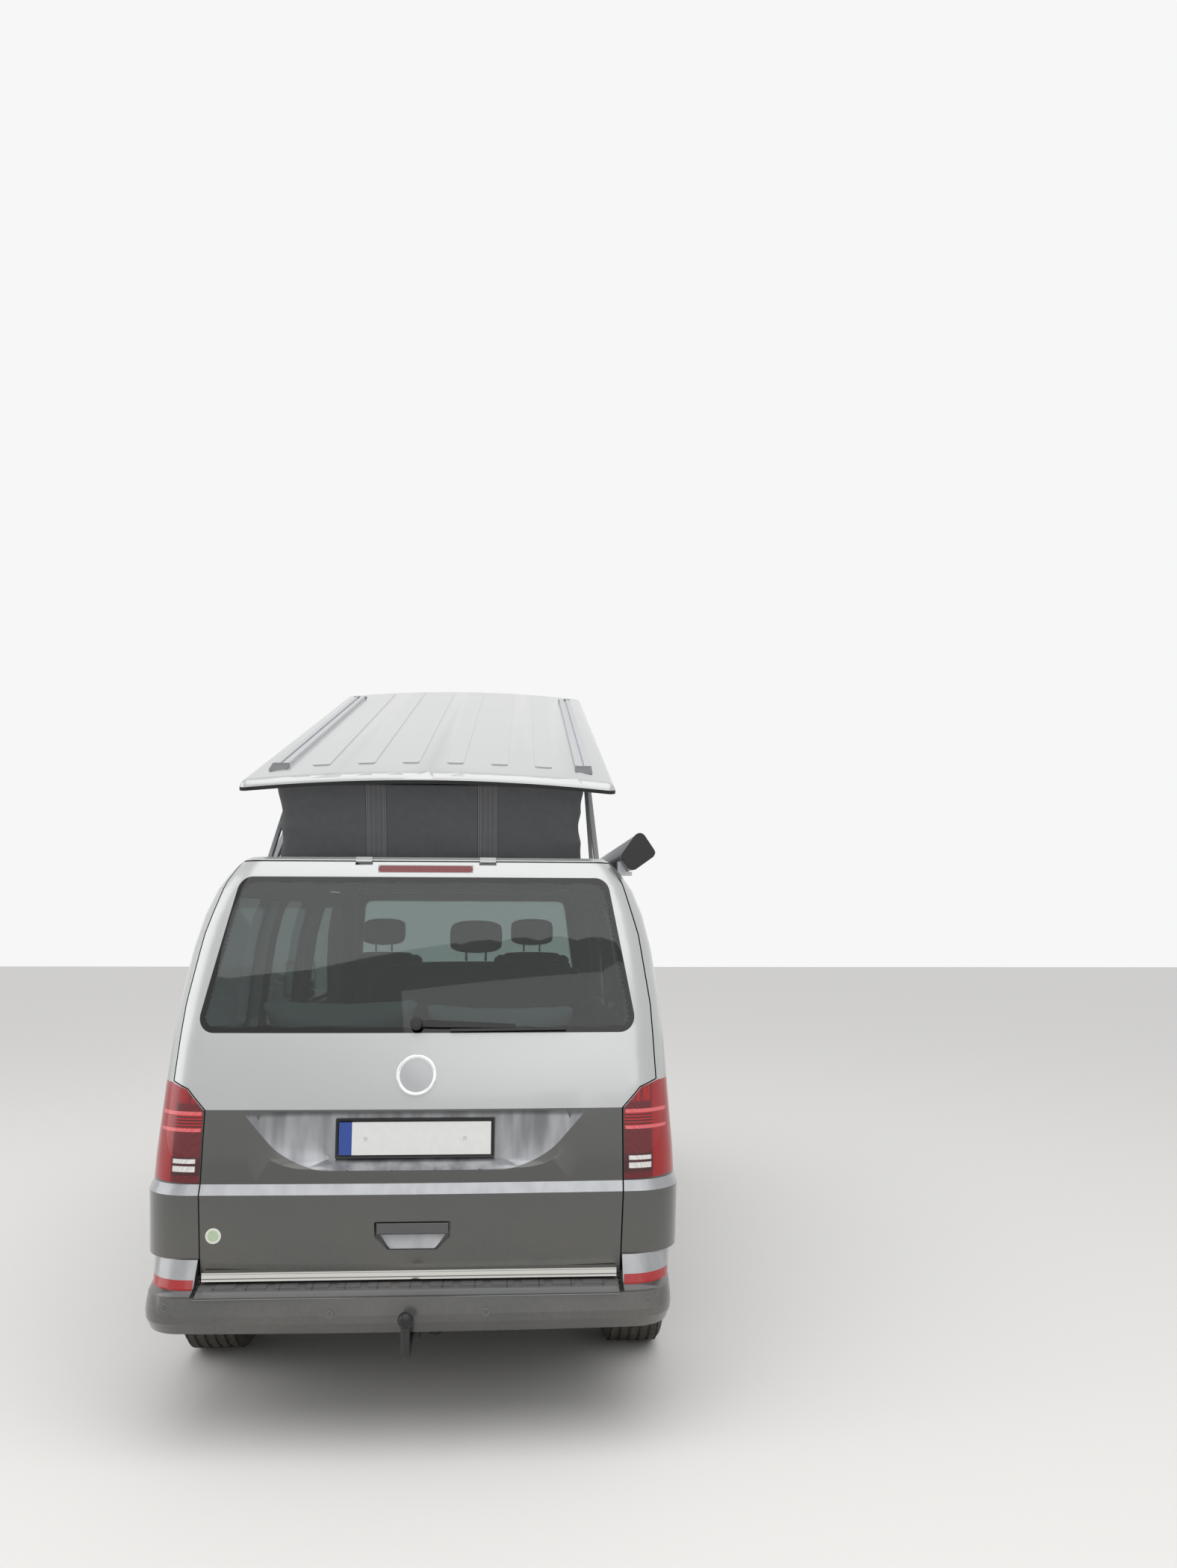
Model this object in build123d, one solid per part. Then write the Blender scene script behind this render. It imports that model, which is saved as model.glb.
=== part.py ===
from build123d import *
import os
from math import atan2, cos, degrees, hypot, radians, sin

os.makedirs("parts", exist_ok=True)

# A one-box camper van with its pop-up roof raised.
# +X is the van's right, +Y is the direction of travel, +Z is up, and the ground is z = 0.
# Places along the van are written as d, the distance forward of the rear bumper's face.
# What belongs to the cab is placed from the front axle, so that the van can be lengthened.

# Overall sizes, in millimetres
wheelbase = 3000
rear_overhang = 996
front_overhang = 908
tow_reach = 107
track = 1628
tyre_radius = 345
tyre_width = 235
rim_radius = 222

# Walls and running gaps
wall = 55
glass = 6
seam = 5
door_seam = 8
bonnet_seam = 6.5
fit = 0.3

# Levels
sill_base = 300
floor_base = 500
floor_top = 588
rail_low = 420
bumper_top = 572
front_bumper_top = 735
lamp_low = 742
bonnet_low = 910
belt = 1135
roof_base = 1862
ceiling = 1872
roof_ledge = 1895
roof_top = 1935

# Wheel places and the openings round them
rear_axle = rear_overhang
front_axle = rear_axle + wheelbase
body_length = front_axle + front_overhang
arch_radius = tyre_radius + 47
rear_arch_inner = 600
front_arch_inner = 500
kingpin_inset = 24
hub_radius = 33
rail_inner = 400
rail_outer = 470

# Divisions of the body along the van
bulkhead_d = front_axle - 61
door_front = front_axle - 416
door_rear = front_axle - 1336
slider_front = door_rear - 60
slider_rear = rear_axle + 579
recess_rear = 570
recess_front = front_axle - 696

# Pop-up roof: the lid's rear rim corner when raised, its tilt, and the eyes of the arms that carry it
lid_half_rear = 716
lid_half_front = 708
lid_gap = 13
lid_length = recess_front - recess_rear - 30
lid_rear_d = 434
lid_rear_z = 2180
lid_tilt = 17.5
lid_rim_closed = 1912
lid_skirt = 20
lid_skin = 20
lid_seal = 14
lid_crown = 37
lid_edge_depth = 41
pivot_level = 1914
main_eye_s = 1907.5
rear_eye_s = 900
canvas_half = 602
canvas_wall = 8
# Brackets and arms across the van: bracket's inner face, its outer face, the arm's outer face
main_ear = (650, 660, 685)
rear_ear = (613, 623, 642)

tail = -(body_length - tow_reach) / 2
nose = tail + body_length


def at(d):
    return tail + d


def ahead(datum, points):
    # points hold (distance forward of the datum, z)
    return [(datum + offset, z) for offset, z in points]


def block(x0, x1, d0, d1, z0, z1):
    centre = Pos((x0 + x1) / 2, at((d0 + d1) / 2), (z0 + z1) / 2)
    return centre * Box(abs(x1 - x0), abs(d1 - d0), abs(z1 - z0))


def prism(corners, travel, corner_radius=0, grow=0):
    face = Face(Wire.make_polygon([Vector(*corner) for corner in corners]))
    if corner_radius:
        face = face.fillet_2d(corner_radius, face.vertices())
    if grow:
        face = Face(face.outer_wire().offset_2d(grow))
    return Solid.extrude(face, Vector(*travel))


def side_prism(outline, x0, x1, corner_radius=0, grow=0):
    # outline holds (d, z) seen from the side
    return prism([(x0, at(d), z) for d, z in outline], (x1 - x0, 0, 0), corner_radius, grow)


def rear_prism(outline, d0, d1, corner_radius=0, grow=0):
    # outline holds (x, z) seen from behind
    return prism([(x, at(d0), z) for x, z in outline], (0, d1 - d0, 0), corner_radius, grow)


def plan_prism(outline, z0, z1, corner_radius=0, grow=0):
    # outline holds (x, d) seen from above
    return prism([(x, at(d), z0) for x, d in outline], (0, 0, z1 - z0), corner_radius, grow)


def mirrored(shape):
    return shape.mirror(Plane.YZ)


def both(shape):
    return [shape, mirrored(shape)]


def tube_x(x0, x1, d, z, radius, bore=0):
    solid = Cylinder(radius, abs(x1 - x0), rotation=(0, 90, 0))
    if bore:
        solid = solid - Cylinder(bore, abs(x1 - x0) + 2, rotation=(0, 90, 0))
    return Pos((x0 + x1) / 2, at(d), z) * solid


def tube_y(x, d0, d1, z, radius):
    return Pos(x, at((d0 + d1) / 2), z) * Cylinder(radius, abs(d1 - d0), rotation=(90, 0, 0))


def tube_z(x, d, z0, z1, radius):
    return Pos(x, at(d), (z0 + z1) / 2) * Cylinder(radius, z1 - z0)


def solids_of(shape):
    if isinstance(shape, (list, tuple)):
        found = []
        for piece in shape:
            found += solids_of(piece)
        return found
    return list(shape.solids())


def save(name, shape, least=1000):
    # Slivers under least cubic millimetres are dropped
    solids = [solid for solid in solids_of(shape) if solid.volume > least]
    piece = solids[0] if len(solids) == 1 else Compound(solids)
    export_step(piece, "parts/" + name + ".step")
    return piece


# The body's form: horizontal outlines, each a ring of four long arcs with rounded corners.
# z, set back from the tail, reach ahead of the front axle, half width, rear and front corner radius,
# crown of the nose
side_crown = 16
tail_crown = 22
body_form = [
    (300, 150, front_overhang - 130, 905, 150, 300, 150),
    (470, 125, front_overhang - 95, 928, 165, 320, 150),
    (783, 95, front_overhang - 46, 935, 170, 330, 150),
    (815, 115, front_overhang - 54, 925, 165, 330, 150),
    (900, 122, front_overhang - 92, 922, 164, 320, 146),
    (965, 128, front_overhang - 190, 917, 162, 300, 136),
    (belt, 148, 218, 905, 160, 250, 110),
    (1300, 186, 48, 895, 155, 245, 108),
    (1450, 231, -107, 881, 150, 240, 105),
    (1600, 280, -262, 861, 145, 232, 100),
    (1720, 318, -386, 833, 138, 222, 94),
    (1815, 349, -484, 796, 130, 208, 88),
    (roof_base, 365, -533, 764, 122, 196, 84),
    (1900, 381, -572, 734, 114, 184, 80),
    (1925, 397, -598, 706, 106, 174, 76),
    (roof_top, 410, -612, 688, 100, 168, 75),
]


def outline(row, inset=0):
    z, back, reach, half, rear_radius, front_radius, crown = row
    y0 = at(back) + inset
    y1 = at(front_axle + reach) - inset
    middle = (y0 + y1) / 2
    half = half - inset
    rear_left = (-half + side_crown, y0 + tail_crown)
    rear_right = (half - side_crown, y0 + tail_crown)
    front_right = (half - side_crown, y1 - crown)
    front_left = (-half + side_crown, y1 - crown)
    ring = Wire([
        ThreePointArc(rear_left, (0, y0), rear_right),
        ThreePointArc(rear_right, (half, middle), front_right),
        ThreePointArc(front_right, (0, y1), front_left),
        ThreePointArc(front_left, (-half, middle), rear_left),
    ])
    face = Face(ring)
    face = face.fillet_2d(rear_radius - inset, [v for v in face.vertices() if v.Y < middle])
    front = [v for v in face.vertices() if v.Y > middle and abs(v.Y - (y1 - crown)) < 1]
    return Pos(0, 0, z) * face.fillet_2d(front_radius - inset, front)


def form(rows, inset=0):
    return loft([outline(row, inset) for row in rows], ruled=True)


handle_reach = 20
handle_depth = 24
grip_clear = 6
blade_reach = 16
bonnet_edge = 18
outer = form(body_form)
inner = form(body_form, wall)
lining = form(body_form, wall + fit)
glass_back = form(body_form, glass)
skin_clear = form(body_form, -fit)
handle_skin = form(body_form, -handle_reach)
handle_back = form(body_form, handle_depth)
grip_back = form(body_form, -grip_clear)
blade_skin = form(body_form, -blade_reach)
thin_edge = form(body_form, bonnet_edge)

cabin = inner & block(-1000, 1000, -100, body_length + 100, floor_top, ceiling)
shell = outer - cabin - block(-800, 800, -50, front_axle + 704, 0, floor_base)
shell -= block(-800, 800, bulkhead_d, front_axle + 784, 0, floor_top + 1)
for side in (-1, 1):
    for axle, inner_x in ((rear_axle, rear_arch_inner), (front_axle, front_arch_inner)):
        shell -= tube_x(side * inner_x, side * 1000, axle, tyre_radius, arch_radius)

# Openings in the shell, as outlines of (d, z) from the side or (x, z) from behind
door_low = 360
door_high = 1838
grille_half = 465
front_door_outline = [(door_rear, door_low), (door_front, door_low)] + ahead(front_axle, [
    (-416, 850), (-356, 1000), (-206, 1133), (-671, 1785), (-736, door_high), (-1336, door_high)])
front_window_outline = ahead(front_axle, [(-1246, 1190), (-336, 1190), (-741, 1758), (-1246, 1772)])
sliding_door_outline = [(slider_rear, door_low), (slider_front, door_low),
                        (slider_front, door_high), (slider_rear, door_high)]
middle_window_outline = [(slider_rear + 85, 1190), (slider_front - 80, 1190),
                         (slider_front - 80, 1778), (slider_rear + 85, 1784)]
rear_window_outline = [(480, 1205), (slider_rear - 80, 1190), (slider_rear - 80, 1784), (590, 1784)]
tailgate_outline = [(-704, 507), (704, 507), (714, 816), (714, 1056), (779, 1126), (838, 1148),
                    (826, 1400), (790, 1650), (736, 1840), (690, 1917),
                    (-690, 1917), (-736, 1840), (-790, 1650), (-826, 1400), (-838, 1148),
                    (-779, 1126), (-714, 1056), (-714, 816)]
tailgate_reach = [(-50, 507), (260, 507), (300, 1200), (380, 1500), (470, 1800), (500, 1917), (-50, 1917)]
rear_glass_outline = [(-776, 1309), (776, 1309), (678, 1860), (-678, 1860)]
windscreen_outline = [(-790, 1172), (790, 1172), (672, 1848), (-672, 1848)]
tail_lamp_outline = [(720, 816), (960, 826), (960, 1146), (845, 1142), (784, 1122), (720, 1053)]
head_lamp_outline = [(grille_half, lamp_low), (690, lamp_low), (820, 758), (960, 806),
                     (960, bonnet_low - seam), (grille_half, bonnet_low - seam)]
bonnet_outline = [(-755, front_axle + 64), (755, front_axle + 64), (722, body_length), (-722, body_length)]

tailgate_zone = rear_prism(tailgate_outline, -50, 600) & side_prism(tailgate_reach, -900, 900)
tailgate_gap = rear_prism(tailgate_outline, -50, 600, grow=seam)
tailgate_gap &= side_prism(tailgate_reach, -900, 900, grow=seam)
bonnet_high = belt - 7
bonnet_zone = plan_prism(bonnet_outline, bonnet_low, bonnet_high, 30)
bonnet_gap = plan_prism(bonnet_outline, bonnet_low - seam, bonnet_high + seam, 30, bonnet_seam)
floor_zone = block(-795, 795, 190, bulkhead_d, floor_base - 5, floor_top + 2)
rear_glass_zone = rear_prism(rear_glass_outline, 0, 700, 55)
windscreen_zone = rear_prism(windscreen_outline, recess_front, front_axle + 504, 50)
tail_lamp_zone = rear_prism(tail_lamp_outline, -50, 330)
head_lamp_zone = rear_prism(head_lamp_outline, front_axle + 484, body_length + 100)

# Body sides behind the doors, with the sliding door on the right
side_zone = (block(0, 1000, 50, door_rear - door_seam, sill_base, roof_base)
             - block(0, 1000, -50, rear_axle - arch_radius + 8, 0, bumper_top)
             - floor_zone - tailgate_gap - tail_lamp_zone
             - side_prism(rear_window_outline, 600, 1000, 60))
right_zone = side_zone - side_prism(sliding_door_outline, 600, 1000, 40, seam)
left_zone = mirrored(side_zone - side_prism(middle_window_outline, 600, 1000, 60))
slide_rail = block(884, 1000, 420, slider_rear - 15, 1088, 1102)
save("floor_pan", shell & floor_zone)
shell -= floor_zone
save("right_side_panel", (shell & right_zone) - slide_rail)
save("left_side_panel", shell & left_zone)

handle_length = 150
handle_height = 22
handle_level = 992


def add_handle(door, d):
    # A grip bar on two feet over a shallow pocket in a right-hand door
    middle = handle_level + handle_height / 2
    pocket = [(d - 62, middle - 34), (d + 62, middle - 34), (d + 62, middle + 34), (d - 62, middle + 34)]
    door = door - ((skin_clear - handle_back) & side_prism(pocket, 700, 1000, 30))
    handle_top = handle_level + handle_height
    grip = block(700, 1000, d - handle_length / 2, d + handle_length / 2, handle_level, handle_top)
    door += (handle_skin - grip_back) & grip
    for end in (-1, 1):
        foot = end * (handle_length / 2 - 8)
        door += (handle_skin - handle_back) & block(700, 1000, d + foot - 8, d + foot + 8,
                                                    handle_level, handle_top)
    return door


sliding_door = shell & side_prism(sliding_door_outline, 600, 1000, 40)
sliding_door -= side_prism(middle_window_outline, 600, 1000, 60)
save("sliding_door", add_handle(sliding_door, slider_front - 110))


def pane(zone):
    return (outer & zone) - glass_back


panes = []
for outline_points in (middle_window_outline, rear_window_outline):
    for side in (-1, 1):
        panes.append(pane(side_prism(outline_points, side * 600, side * 1000, 60, -fit)))
save("side_windows", panes)
save("windscreen", pane(rear_prism(windscreen_outline, recess_front, front_axle + 504, 50, -fit)))

# Links of the pop-up roof: each arm's pivot lies where its eye on the lid is as far off raised as closed
eye_n = pivot_level - lid_rim_closed
lid_closed_d = recess_rear + lid_gap


def lid_point(s, n):
    # s runs forward from the lid's rear edge, n up from its rim
    tilt = radians(lid_tilt)
    return lid_rear_d + s * cos(tilt) - n * sin(tilt), lid_rear_z + s * sin(tilt) + n * cos(tilt)


def lift_link(s):
    raised_d, raised_z = lid_point(s, eye_n)
    rise = raised_z - pivot_level
    closed_d = lid_closed_d + s
    pivot_d = (closed_d ** 2 - raised_d ** 2 - rise ** 2) / (2 * (closed_d - raised_d))
    return pivot_d, degrees(atan2(rise, raised_d - pivot_d)), hypot(rise, raised_d - pivot_d)


main_pivot_d, main_arm_angle, main_arm_length = lift_link(main_eye_s)
rear_pivot_d, rear_arm_angle, rear_arm_length = lift_link(rear_eye_s)
print("main link", main_pivot_d, main_arm_angle, main_arm_length)
print("rear link", rear_pivot_d, rear_arm_angle, rear_arm_length)

# Roof: a header over the tailgate, the cab's roof, and between them a frame that the closed lid covers
pin_radius = 7
ear_half = 9
ear_depth = 32
roof_zone = shell & block(-1000, 1000, 300, front_axle - 396, roof_base, 2000)
hinge_d = 391
hinge_z = 1919.5
rear_header = roof_zone & block(-1000, 1000, 0, recess_rear, roof_base, 2000)
rear_header -= tailgate_gap
for side in (-1, 1):
    rear_header += block(side * 200, side * 260, hinge_d, 440, 1924, roof_top)
    rear_header += tube_x(side * 200, side * 260, hinge_d, hinge_z, 5)
save("rear_header", rear_header)
save("cab_roof", roof_zone & block(-1000, 1000, recess_front, front_axle, roof_base, 2000))
roof_frame = roof_zone & block(-1000, 1000, recess_rear, recess_front, roof_base, roof_ledge)
roof_frame -= block(-590, 590, recess_rear + 70, recess_front - 100, 1700, 2000)
arm_brackets = [
    block(side * ear[0], side * ear[1], pivot_d - ear_depth / 2, pivot_d + ear_depth / 2,
          roof_ledge + fit, pivot_level + ear_half)
    + tube_x(side * ear[0], side * ear[2], pivot_d, pivot_level, pin_radius - fit)
    for side in (-1, 1) for pivot_d, ear in ((main_pivot_d, main_ear), (rear_pivot_d, rear_ear))]
save("roof_frame", [roof_frame, *arm_brackets])

# Cab frame: pillars, sills under the doors, cowl and bulkhead, with the bonnet's hinge lugs
door_gap = side_prism(front_door_outline, 600, 1000, 22, door_seam)
front_zone = block(-1000, 1000, door_front + door_seam, body_length + 100, 0, bonnet_high + seam)
cab_zone = (block(-1000, 1000, door_rear - door_seam, front_axle + 404, sill_base, roof_base)
            - front_zone - floor_zone - windscreen_zone)
cab_frame = (shell & cab_zone) - door_gap - mirrored(door_gap)
cowl_slot = block(-770, 770, front_axle, front_axle + 404, bonnet_high, 1172)
cab_frame -= (skin_clear - thin_edge) & cowl_slot
for side in (-1, 1):
    cab_frame += block(side * 796, side * 842, door_rear - door_seam, door_front - 25,
                       door_low - door_seam - 2, floor_top)
liner_cut = tube_x(470, 900, front_axle, tyre_radius, arch_radius + 16)
bulkhead = lining & block(-860, 860, bulkhead_d, bulkhead_d + 25, floor_base, 1100)
bulkhead = bulkhead - liner_cut - mirrored(liner_cut)
cowl_tray = lining & block(-860, 860, bulkhead_d, front_axle + 60, 1100, 1130)
barrel = 6
hinge_pin = 3
lug = 8
bonnet_hinge_d = front_axle + 159
bonnet_hinge_z = bonnet_high + seam + 0.5
bonnet_hinge_x = (560, 600)
for side in (-1, 1):
    x0, x1 = side * bonnet_hinge_x[0], side * bonnet_hinge_x[1]
    reach = side * (lug + 1)
    cab_frame -= tube_x(x0 - side, x1 + side, bonnet_hinge_d, bonnet_hinge_z, barrel + 3)
    cab_frame += tube_x(x0 - reach, x1 + reach, bonnet_hinge_d, bonnet_hinge_z, hinge_pin)
    for end in ((x0 - reach, x0 - side), (x1 + side, x1 + reach)):
        cab_frame += tube_x(end[0], end[1], bonnet_hinge_d, bonnet_hinge_z, barrel)
save("cab_frame", solids_of(cab_frame) + solids_of(bulkhead + cowl_tray))

# Wheel arch liners: half drums with a closed inner side
liner_wall = 15
liners = []
for axle, inner_x in ((rear_axle, rear_arch_inner), (front_axle, front_arch_inner)):
    drum = tube_x(inner_x - liner_wall, 900, axle, tyre_radius, arch_radius + liner_wall)
    hollow = tube_x(inner_x, 901, axle, tyre_radius, arch_radius)
    liner = (drum - hollow) & lining & block(0, 900, 0, body_length, floor_top + fit, 1000)
    liners += [liner, mirrored(liner)]
save("wheel_arch_liners", liners)

# Front end
door_hinge_x = 931
door_hinge_d = door_front + seam
hinge_height = 38
hinge_levels = (600, 740)
bumper_zone = block(-1000, 1000, front_axle + arch_radius - 6, body_length + 100, 0, front_bumper_top)
grille_zone = block(-grille_half, grille_half, front_axle + 504, body_length + 100,
                    front_bumper_top, bonnet_low - seam)
wing_zone = (front_zone - bonnet_gap - floor_zone - bumper_zone - grille_zone
             - head_lamp_zone - mirrored(head_lamp_zone))
wings = (shell & wing_zone) - door_gap - mirrored(door_gap)
for side in (-1, 1):
    for z in hinge_levels:
        top = z + hinge_height
        wings -= tube_z(side * door_hinge_x, door_hinge_d, z - 1, top + 1, barrel + 3)
        wings += tube_z(side * door_hinge_x, door_hinge_d, z - lug - 1, top + lug + 1, hinge_pin)
        wings += tube_z(side * door_hinge_x, door_hinge_d, z - lug - 1, z - 1, barrel)
        wings += tube_z(side * door_hinge_x, door_hinge_d, top + 1, top + lug + 1, barrel)
save("front_wings", wings)

bonnet = (shell & bonnet_zone) - (thin_edge & block(-800, 800, front_axle, body_length, 1085, 1200))
for side in (-1, 1):
    x0, x1 = side * bonnet_hinge_x[0], side * bonnet_hinge_x[1]
    reach = side * (lug + 3)
    bonnet -= tube_x(x0 - reach, x1 + reach, bonnet_hinge_d, bonnet_hinge_z, barrel + 4)
    bonnet += tube_x(x0, x1, bonnet_hinge_d, bonnet_hinge_z, barrel)
    bonnet += outer & block(x0, x1, bonnet_hinge_d - barrel, bonnet_hinge_d + 60,
                            bonnet_high - 16, bonnet_high)
    bonnet -= tube_x(x0 - side, x1 + side, bonnet_hinge_d, bonnet_hinge_z, hinge_pin + fit)
save("bonnet", bonnet)
save("headlamps", both(shell & head_lamp_zone))

slat_pitch = 34
slat_gap = 22
grille = shell & grille_zone
for count in range(4):
    slot_z = front_bumper_top + 24 + count * slat_pitch
    grille -= block(-grille_half + 15, grille_half - 15, front_axle + 504, body_length + 100,
                    slot_z, slot_z + slat_gap)
save("grille", grille)

# Front bumper: a wrapped beam with a slatted intake and a lamp pocket near each corner
bumper_length = 3200
front_bumper_form = [
    (225, bumper_length, front_overhang - 75, 880, 100, 300, 140),
    (300, bumper_length, front_overhang - 22, 925, 100, 320, 150),
    (430, bumper_length, front_overhang, 942, 100, 330, 150),
    (600, bumper_length, front_overhang - 8, 945, 100, 330, 150),
    (front_bumper_top - fit, bumper_length, front_overhang - 36, 938, 100, 330, 150),
]
bumper_wall = 60
pocket_depth = 35
intake_outline = [(-430, 0), (430, 0), (422, 44), (-422, 44)]
pocket_outline = [(590, 390), (790, 400), (770, 500), (620, 500)]
front_bumper_solid = form(front_bumper_form)
front_bumper = front_bumper_solid - form(front_bumper_form, bumper_wall)
front_bumper &= block(-1000, 1000, front_axle + arch_radius + 4, body_length + 100, 0, 1000)
for count in range(4):
    slot = [(x, z + 330 + count * 60) for x, z in intake_outline]
    front_bumper -= rear_prism(slot, front_axle + 504, body_length + 100, 8)
pocket = rear_prism(pocket_outline, front_axle + 404, body_length + 100, 20)
pocket -= form(front_bumper_form, pocket_depth)
front_bumper = front_bumper - pocket - mirrored(pocket)
save("front_bumper", front_bumper)

# Rear bumper: a wrapped beam, a ribbed step pad and a raised block with a reflector at each corner
rear_bumper_form = [
    (362, 28, -996, 882, 130, 100, 30),
    (400, 2, -996, 892, 135, 100, 30),
    (425, 0, -996, 894, 135, 100, 30),
    (452, 6, -996, 893, 135, 100, 30),
    (478, 12, -996, 890, 135, 100, 30),
]
corner_form = [
    (478, 12, -996, 890, 135, 100, 30),
    (492, 62, -996, 893, 145, 100, 30),
    (bumper_top - fit, 108, -996, 905, 160, 100, 30),
]
reflector_outline = [(716, 490), (870, 490), (870, 516), (716, 516)]
pad_half = 695
pad_ribs = 13
pad_rib_pitch = 102
bumper_reach = rear_axle - arch_radius - 4
bumper_box = block(-1000, 1000, -50, bumper_reach, 0, 1000) - floor_zone
rear_bumper = form(rear_bumper_form) - form(rear_bumper_form, 45)
corners = form(corner_form) - form(corner_form, 50) - block(-712, 712, -50, body_length, 0, 1000)
reflector = corners & rear_prism(reflector_outline, -50, 260)
corners -= rear_prism(reflector_outline, -50, 260) + mirrored(rear_prism(reflector_outline, -50, 260))
pad = side_prism([(12, 476), (14, 478), (68, 495), (110, 500), (185, 500), (185, 460), (80, 460)],
                 -pad_half, pad_half)
for count in range(pad_ribs):
    x = (count - (pad_ribs - 1) / 2) * pad_rib_pitch
    pad += side_prism([(62, 488), (62, 496), (72, 498.5), (96, 500.5), (100, 490)], x - 38, x + 38)
rear_bumper = (rear_bumper + corners + pad) & bumper_box
save("rear_bumper", rear_bumper)
lamp = shell & tail_lamp_zone
save("tail_lamps", both(lamp) + both(reflector))


# Front doors: each hangs on two pins at the seam, at the skin
def front_door(side):
    door = (shell - inner) & side_prism(front_door_outline, 600, 1000, 22)
    door -= side_prism(front_window_outline, 600, 1000, 45)
    door = add_handle(door, door_rear + 115)
    for z in hinge_levels:
        top = z + hinge_height
        door -= tube_z(door_hinge_x, door_hinge_d, z - lug - 3, top + lug + 3, barrel + 4)
        door += tube_z(door_hinge_x, door_hinge_d, z, top, barrel)
        door += block(door_hinge_x - 8, door_hinge_x, door_hinge_d - 16, door_hinge_d, z, top)
        door -= tube_z(door_hinge_x, door_hinge_d, z - 1, top + 1, hinge_pin + fit)
    return door if side > 0 else mirrored(door)


mirror_d = front_axle - 436


def door_mirror(side):
    head = Pos(1050, at(mirror_d), 1300) * Box(186, 120, 230)
    head = fillet(head.edges().filter_by(Axis.Z), 30)
    head = fillet(head.edges().group_by(Axis.Z)[-1] + head.edges().group_by(Axis.Z)[0], 22)
    foot = block(880, 975, mirror_d - 30, mirror_d + 45, 1140, 1172)
    neck = block(962, 1000, mirror_d - 22, mirror_d + 22, 1150, 1230)
    mirror = (head + foot + neck) - skin_clear
    return mirror if side > 0 else mirrored(mirror)


for side, name in ((-1, "left"), (1, "right")):
    save(name + "_front_door", front_door(side))
    save(name + "_door_window", pane(side_prism(front_window_outline, side * 600, side * 1000, 45, -fit)))
    save(name + "_mirror", door_mirror(side))

# Tailgate with its glass, wiper and bright trim.
# The plate's recess is scooped: its sides ramp in from the skin.
recess_floor = 162
recess_mouth = 115
plate_thick = 12
handle_floor = 140


def scoop_wire(half_top, half_low, half_middle, top, low, middle, d):
    def place(x, z):
        return Vector(x, at(d), z)
    return Wire([
        Edge.make_line(place(-half_low, low), place(half_low, low)),
        ThreePointArc(place(half_low, low), place(half_middle, middle), place(half_top, top)),
        Edge.make_line(place(half_top, top), place(-half_top, top)),
        ThreePointArc(place(-half_top, top), place(-half_middle, middle), place(-half_low, low)),
    ])


scoop = loft([Face(scoop_wire(851, 385, 668, 1050, 857, 920, recess_mouth)),
              Face(scoop_wire(335, 292, 322, 1050, 889, 950, recess_floor))], ruled=True)
tailgate = (shell & tailgate_zone) - rear_glass_zone - scoop
tailgate -= rear_prism([(-129, 692), (129, 692), (127, 640), (82, 597), (-82, 597), (-127, 640)],
                       0, handle_floor, 5)
for side in (-1, 1):
    tailgate -= tube_x(side * 198, side * 262, hinge_d, hinge_z, 6.5)
    tailgate -= block(side * 198, side * 262, 380, 450, 1905, 1926)
brake_zone = [(-176, 1876), (176, 1876), (176, 1905), (-176, 1905)]
tailgate -= rear_prism(brake_zone, 0, 415)
save("tailgate", tailgate)
save("tailgate_glass", pane(rear_prism(rear_glass_outline, 0, 700, 55, -fit)))

handle = block(-120, 120, 108, handle_floor - fit, 648, 688)
handle = fillet(handle.edges().filter_by(Axis.X), 6)
plate = block(-260, 260, recess_floor - plate_thick, recess_floor - fit, 902, 1012)
brake_light = outer & rear_prism(brake_zone, 0, 415 - fit, grow=-fit)
chrome = block(-690, 690, 90, 125, 510, 538) - skin_clear
save("tailgate_trim", [handle, plate, chrome, brake_light])

# Wiper: a tapered arm and a blade that follow the glass, on a domed spindle
wiper_x, wiper_z = -6, 1343
arm = rear_prism([(wiper_x, wiper_z - 10), (339, 1328), (339, 1338), (wiper_x, wiper_z + 10)], 100, 400)
blade = rear_prism([(112, 1316), (521, 1320), (521, 1327), (112, 1325)], 100, 400)
spindle = Pos(wiper_x, at(190), wiper_z) * Cylinder(17, 40, rotation=(90, 0, 0))
wiper = (blade_skin & (arm + blade)) - skin_clear + (spindle - skin_clear)
save("rear_wiper", wiper)

# Roof lid, built flat over the rim at z = 0 and s = 0 at its rear edge, then tilted into place
lid_radius = (lid_half_rear ** 2 + lid_crown ** 2) / (2 * lid_crown)


def lid_crown_solid(top):
    return Pos(0, lid_length / 2, top + lid_crown - lid_radius) * Cylinder(
        lid_radius, lid_length + 10, rotation=(90, 0, 0))


def lid_slab(inset, top, corner_radius=0):
    half_rear = lid_half_rear - inset
    half_front = lid_half_front - inset
    plan = prism([(-half_rear, inset, -60), (half_rear, inset, -60), (half_front, lid_length - inset, -60),
                  (-half_front, lid_length - inset, -60)], (0, 0, 200), corner_radius)
    return plan & lid_crown_solid(top)


def raise_lid(shape):
    return Pos(0, at(lid_rear_d), lid_rear_z) * Rot(lid_tilt, 0, 0) * shape


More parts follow.
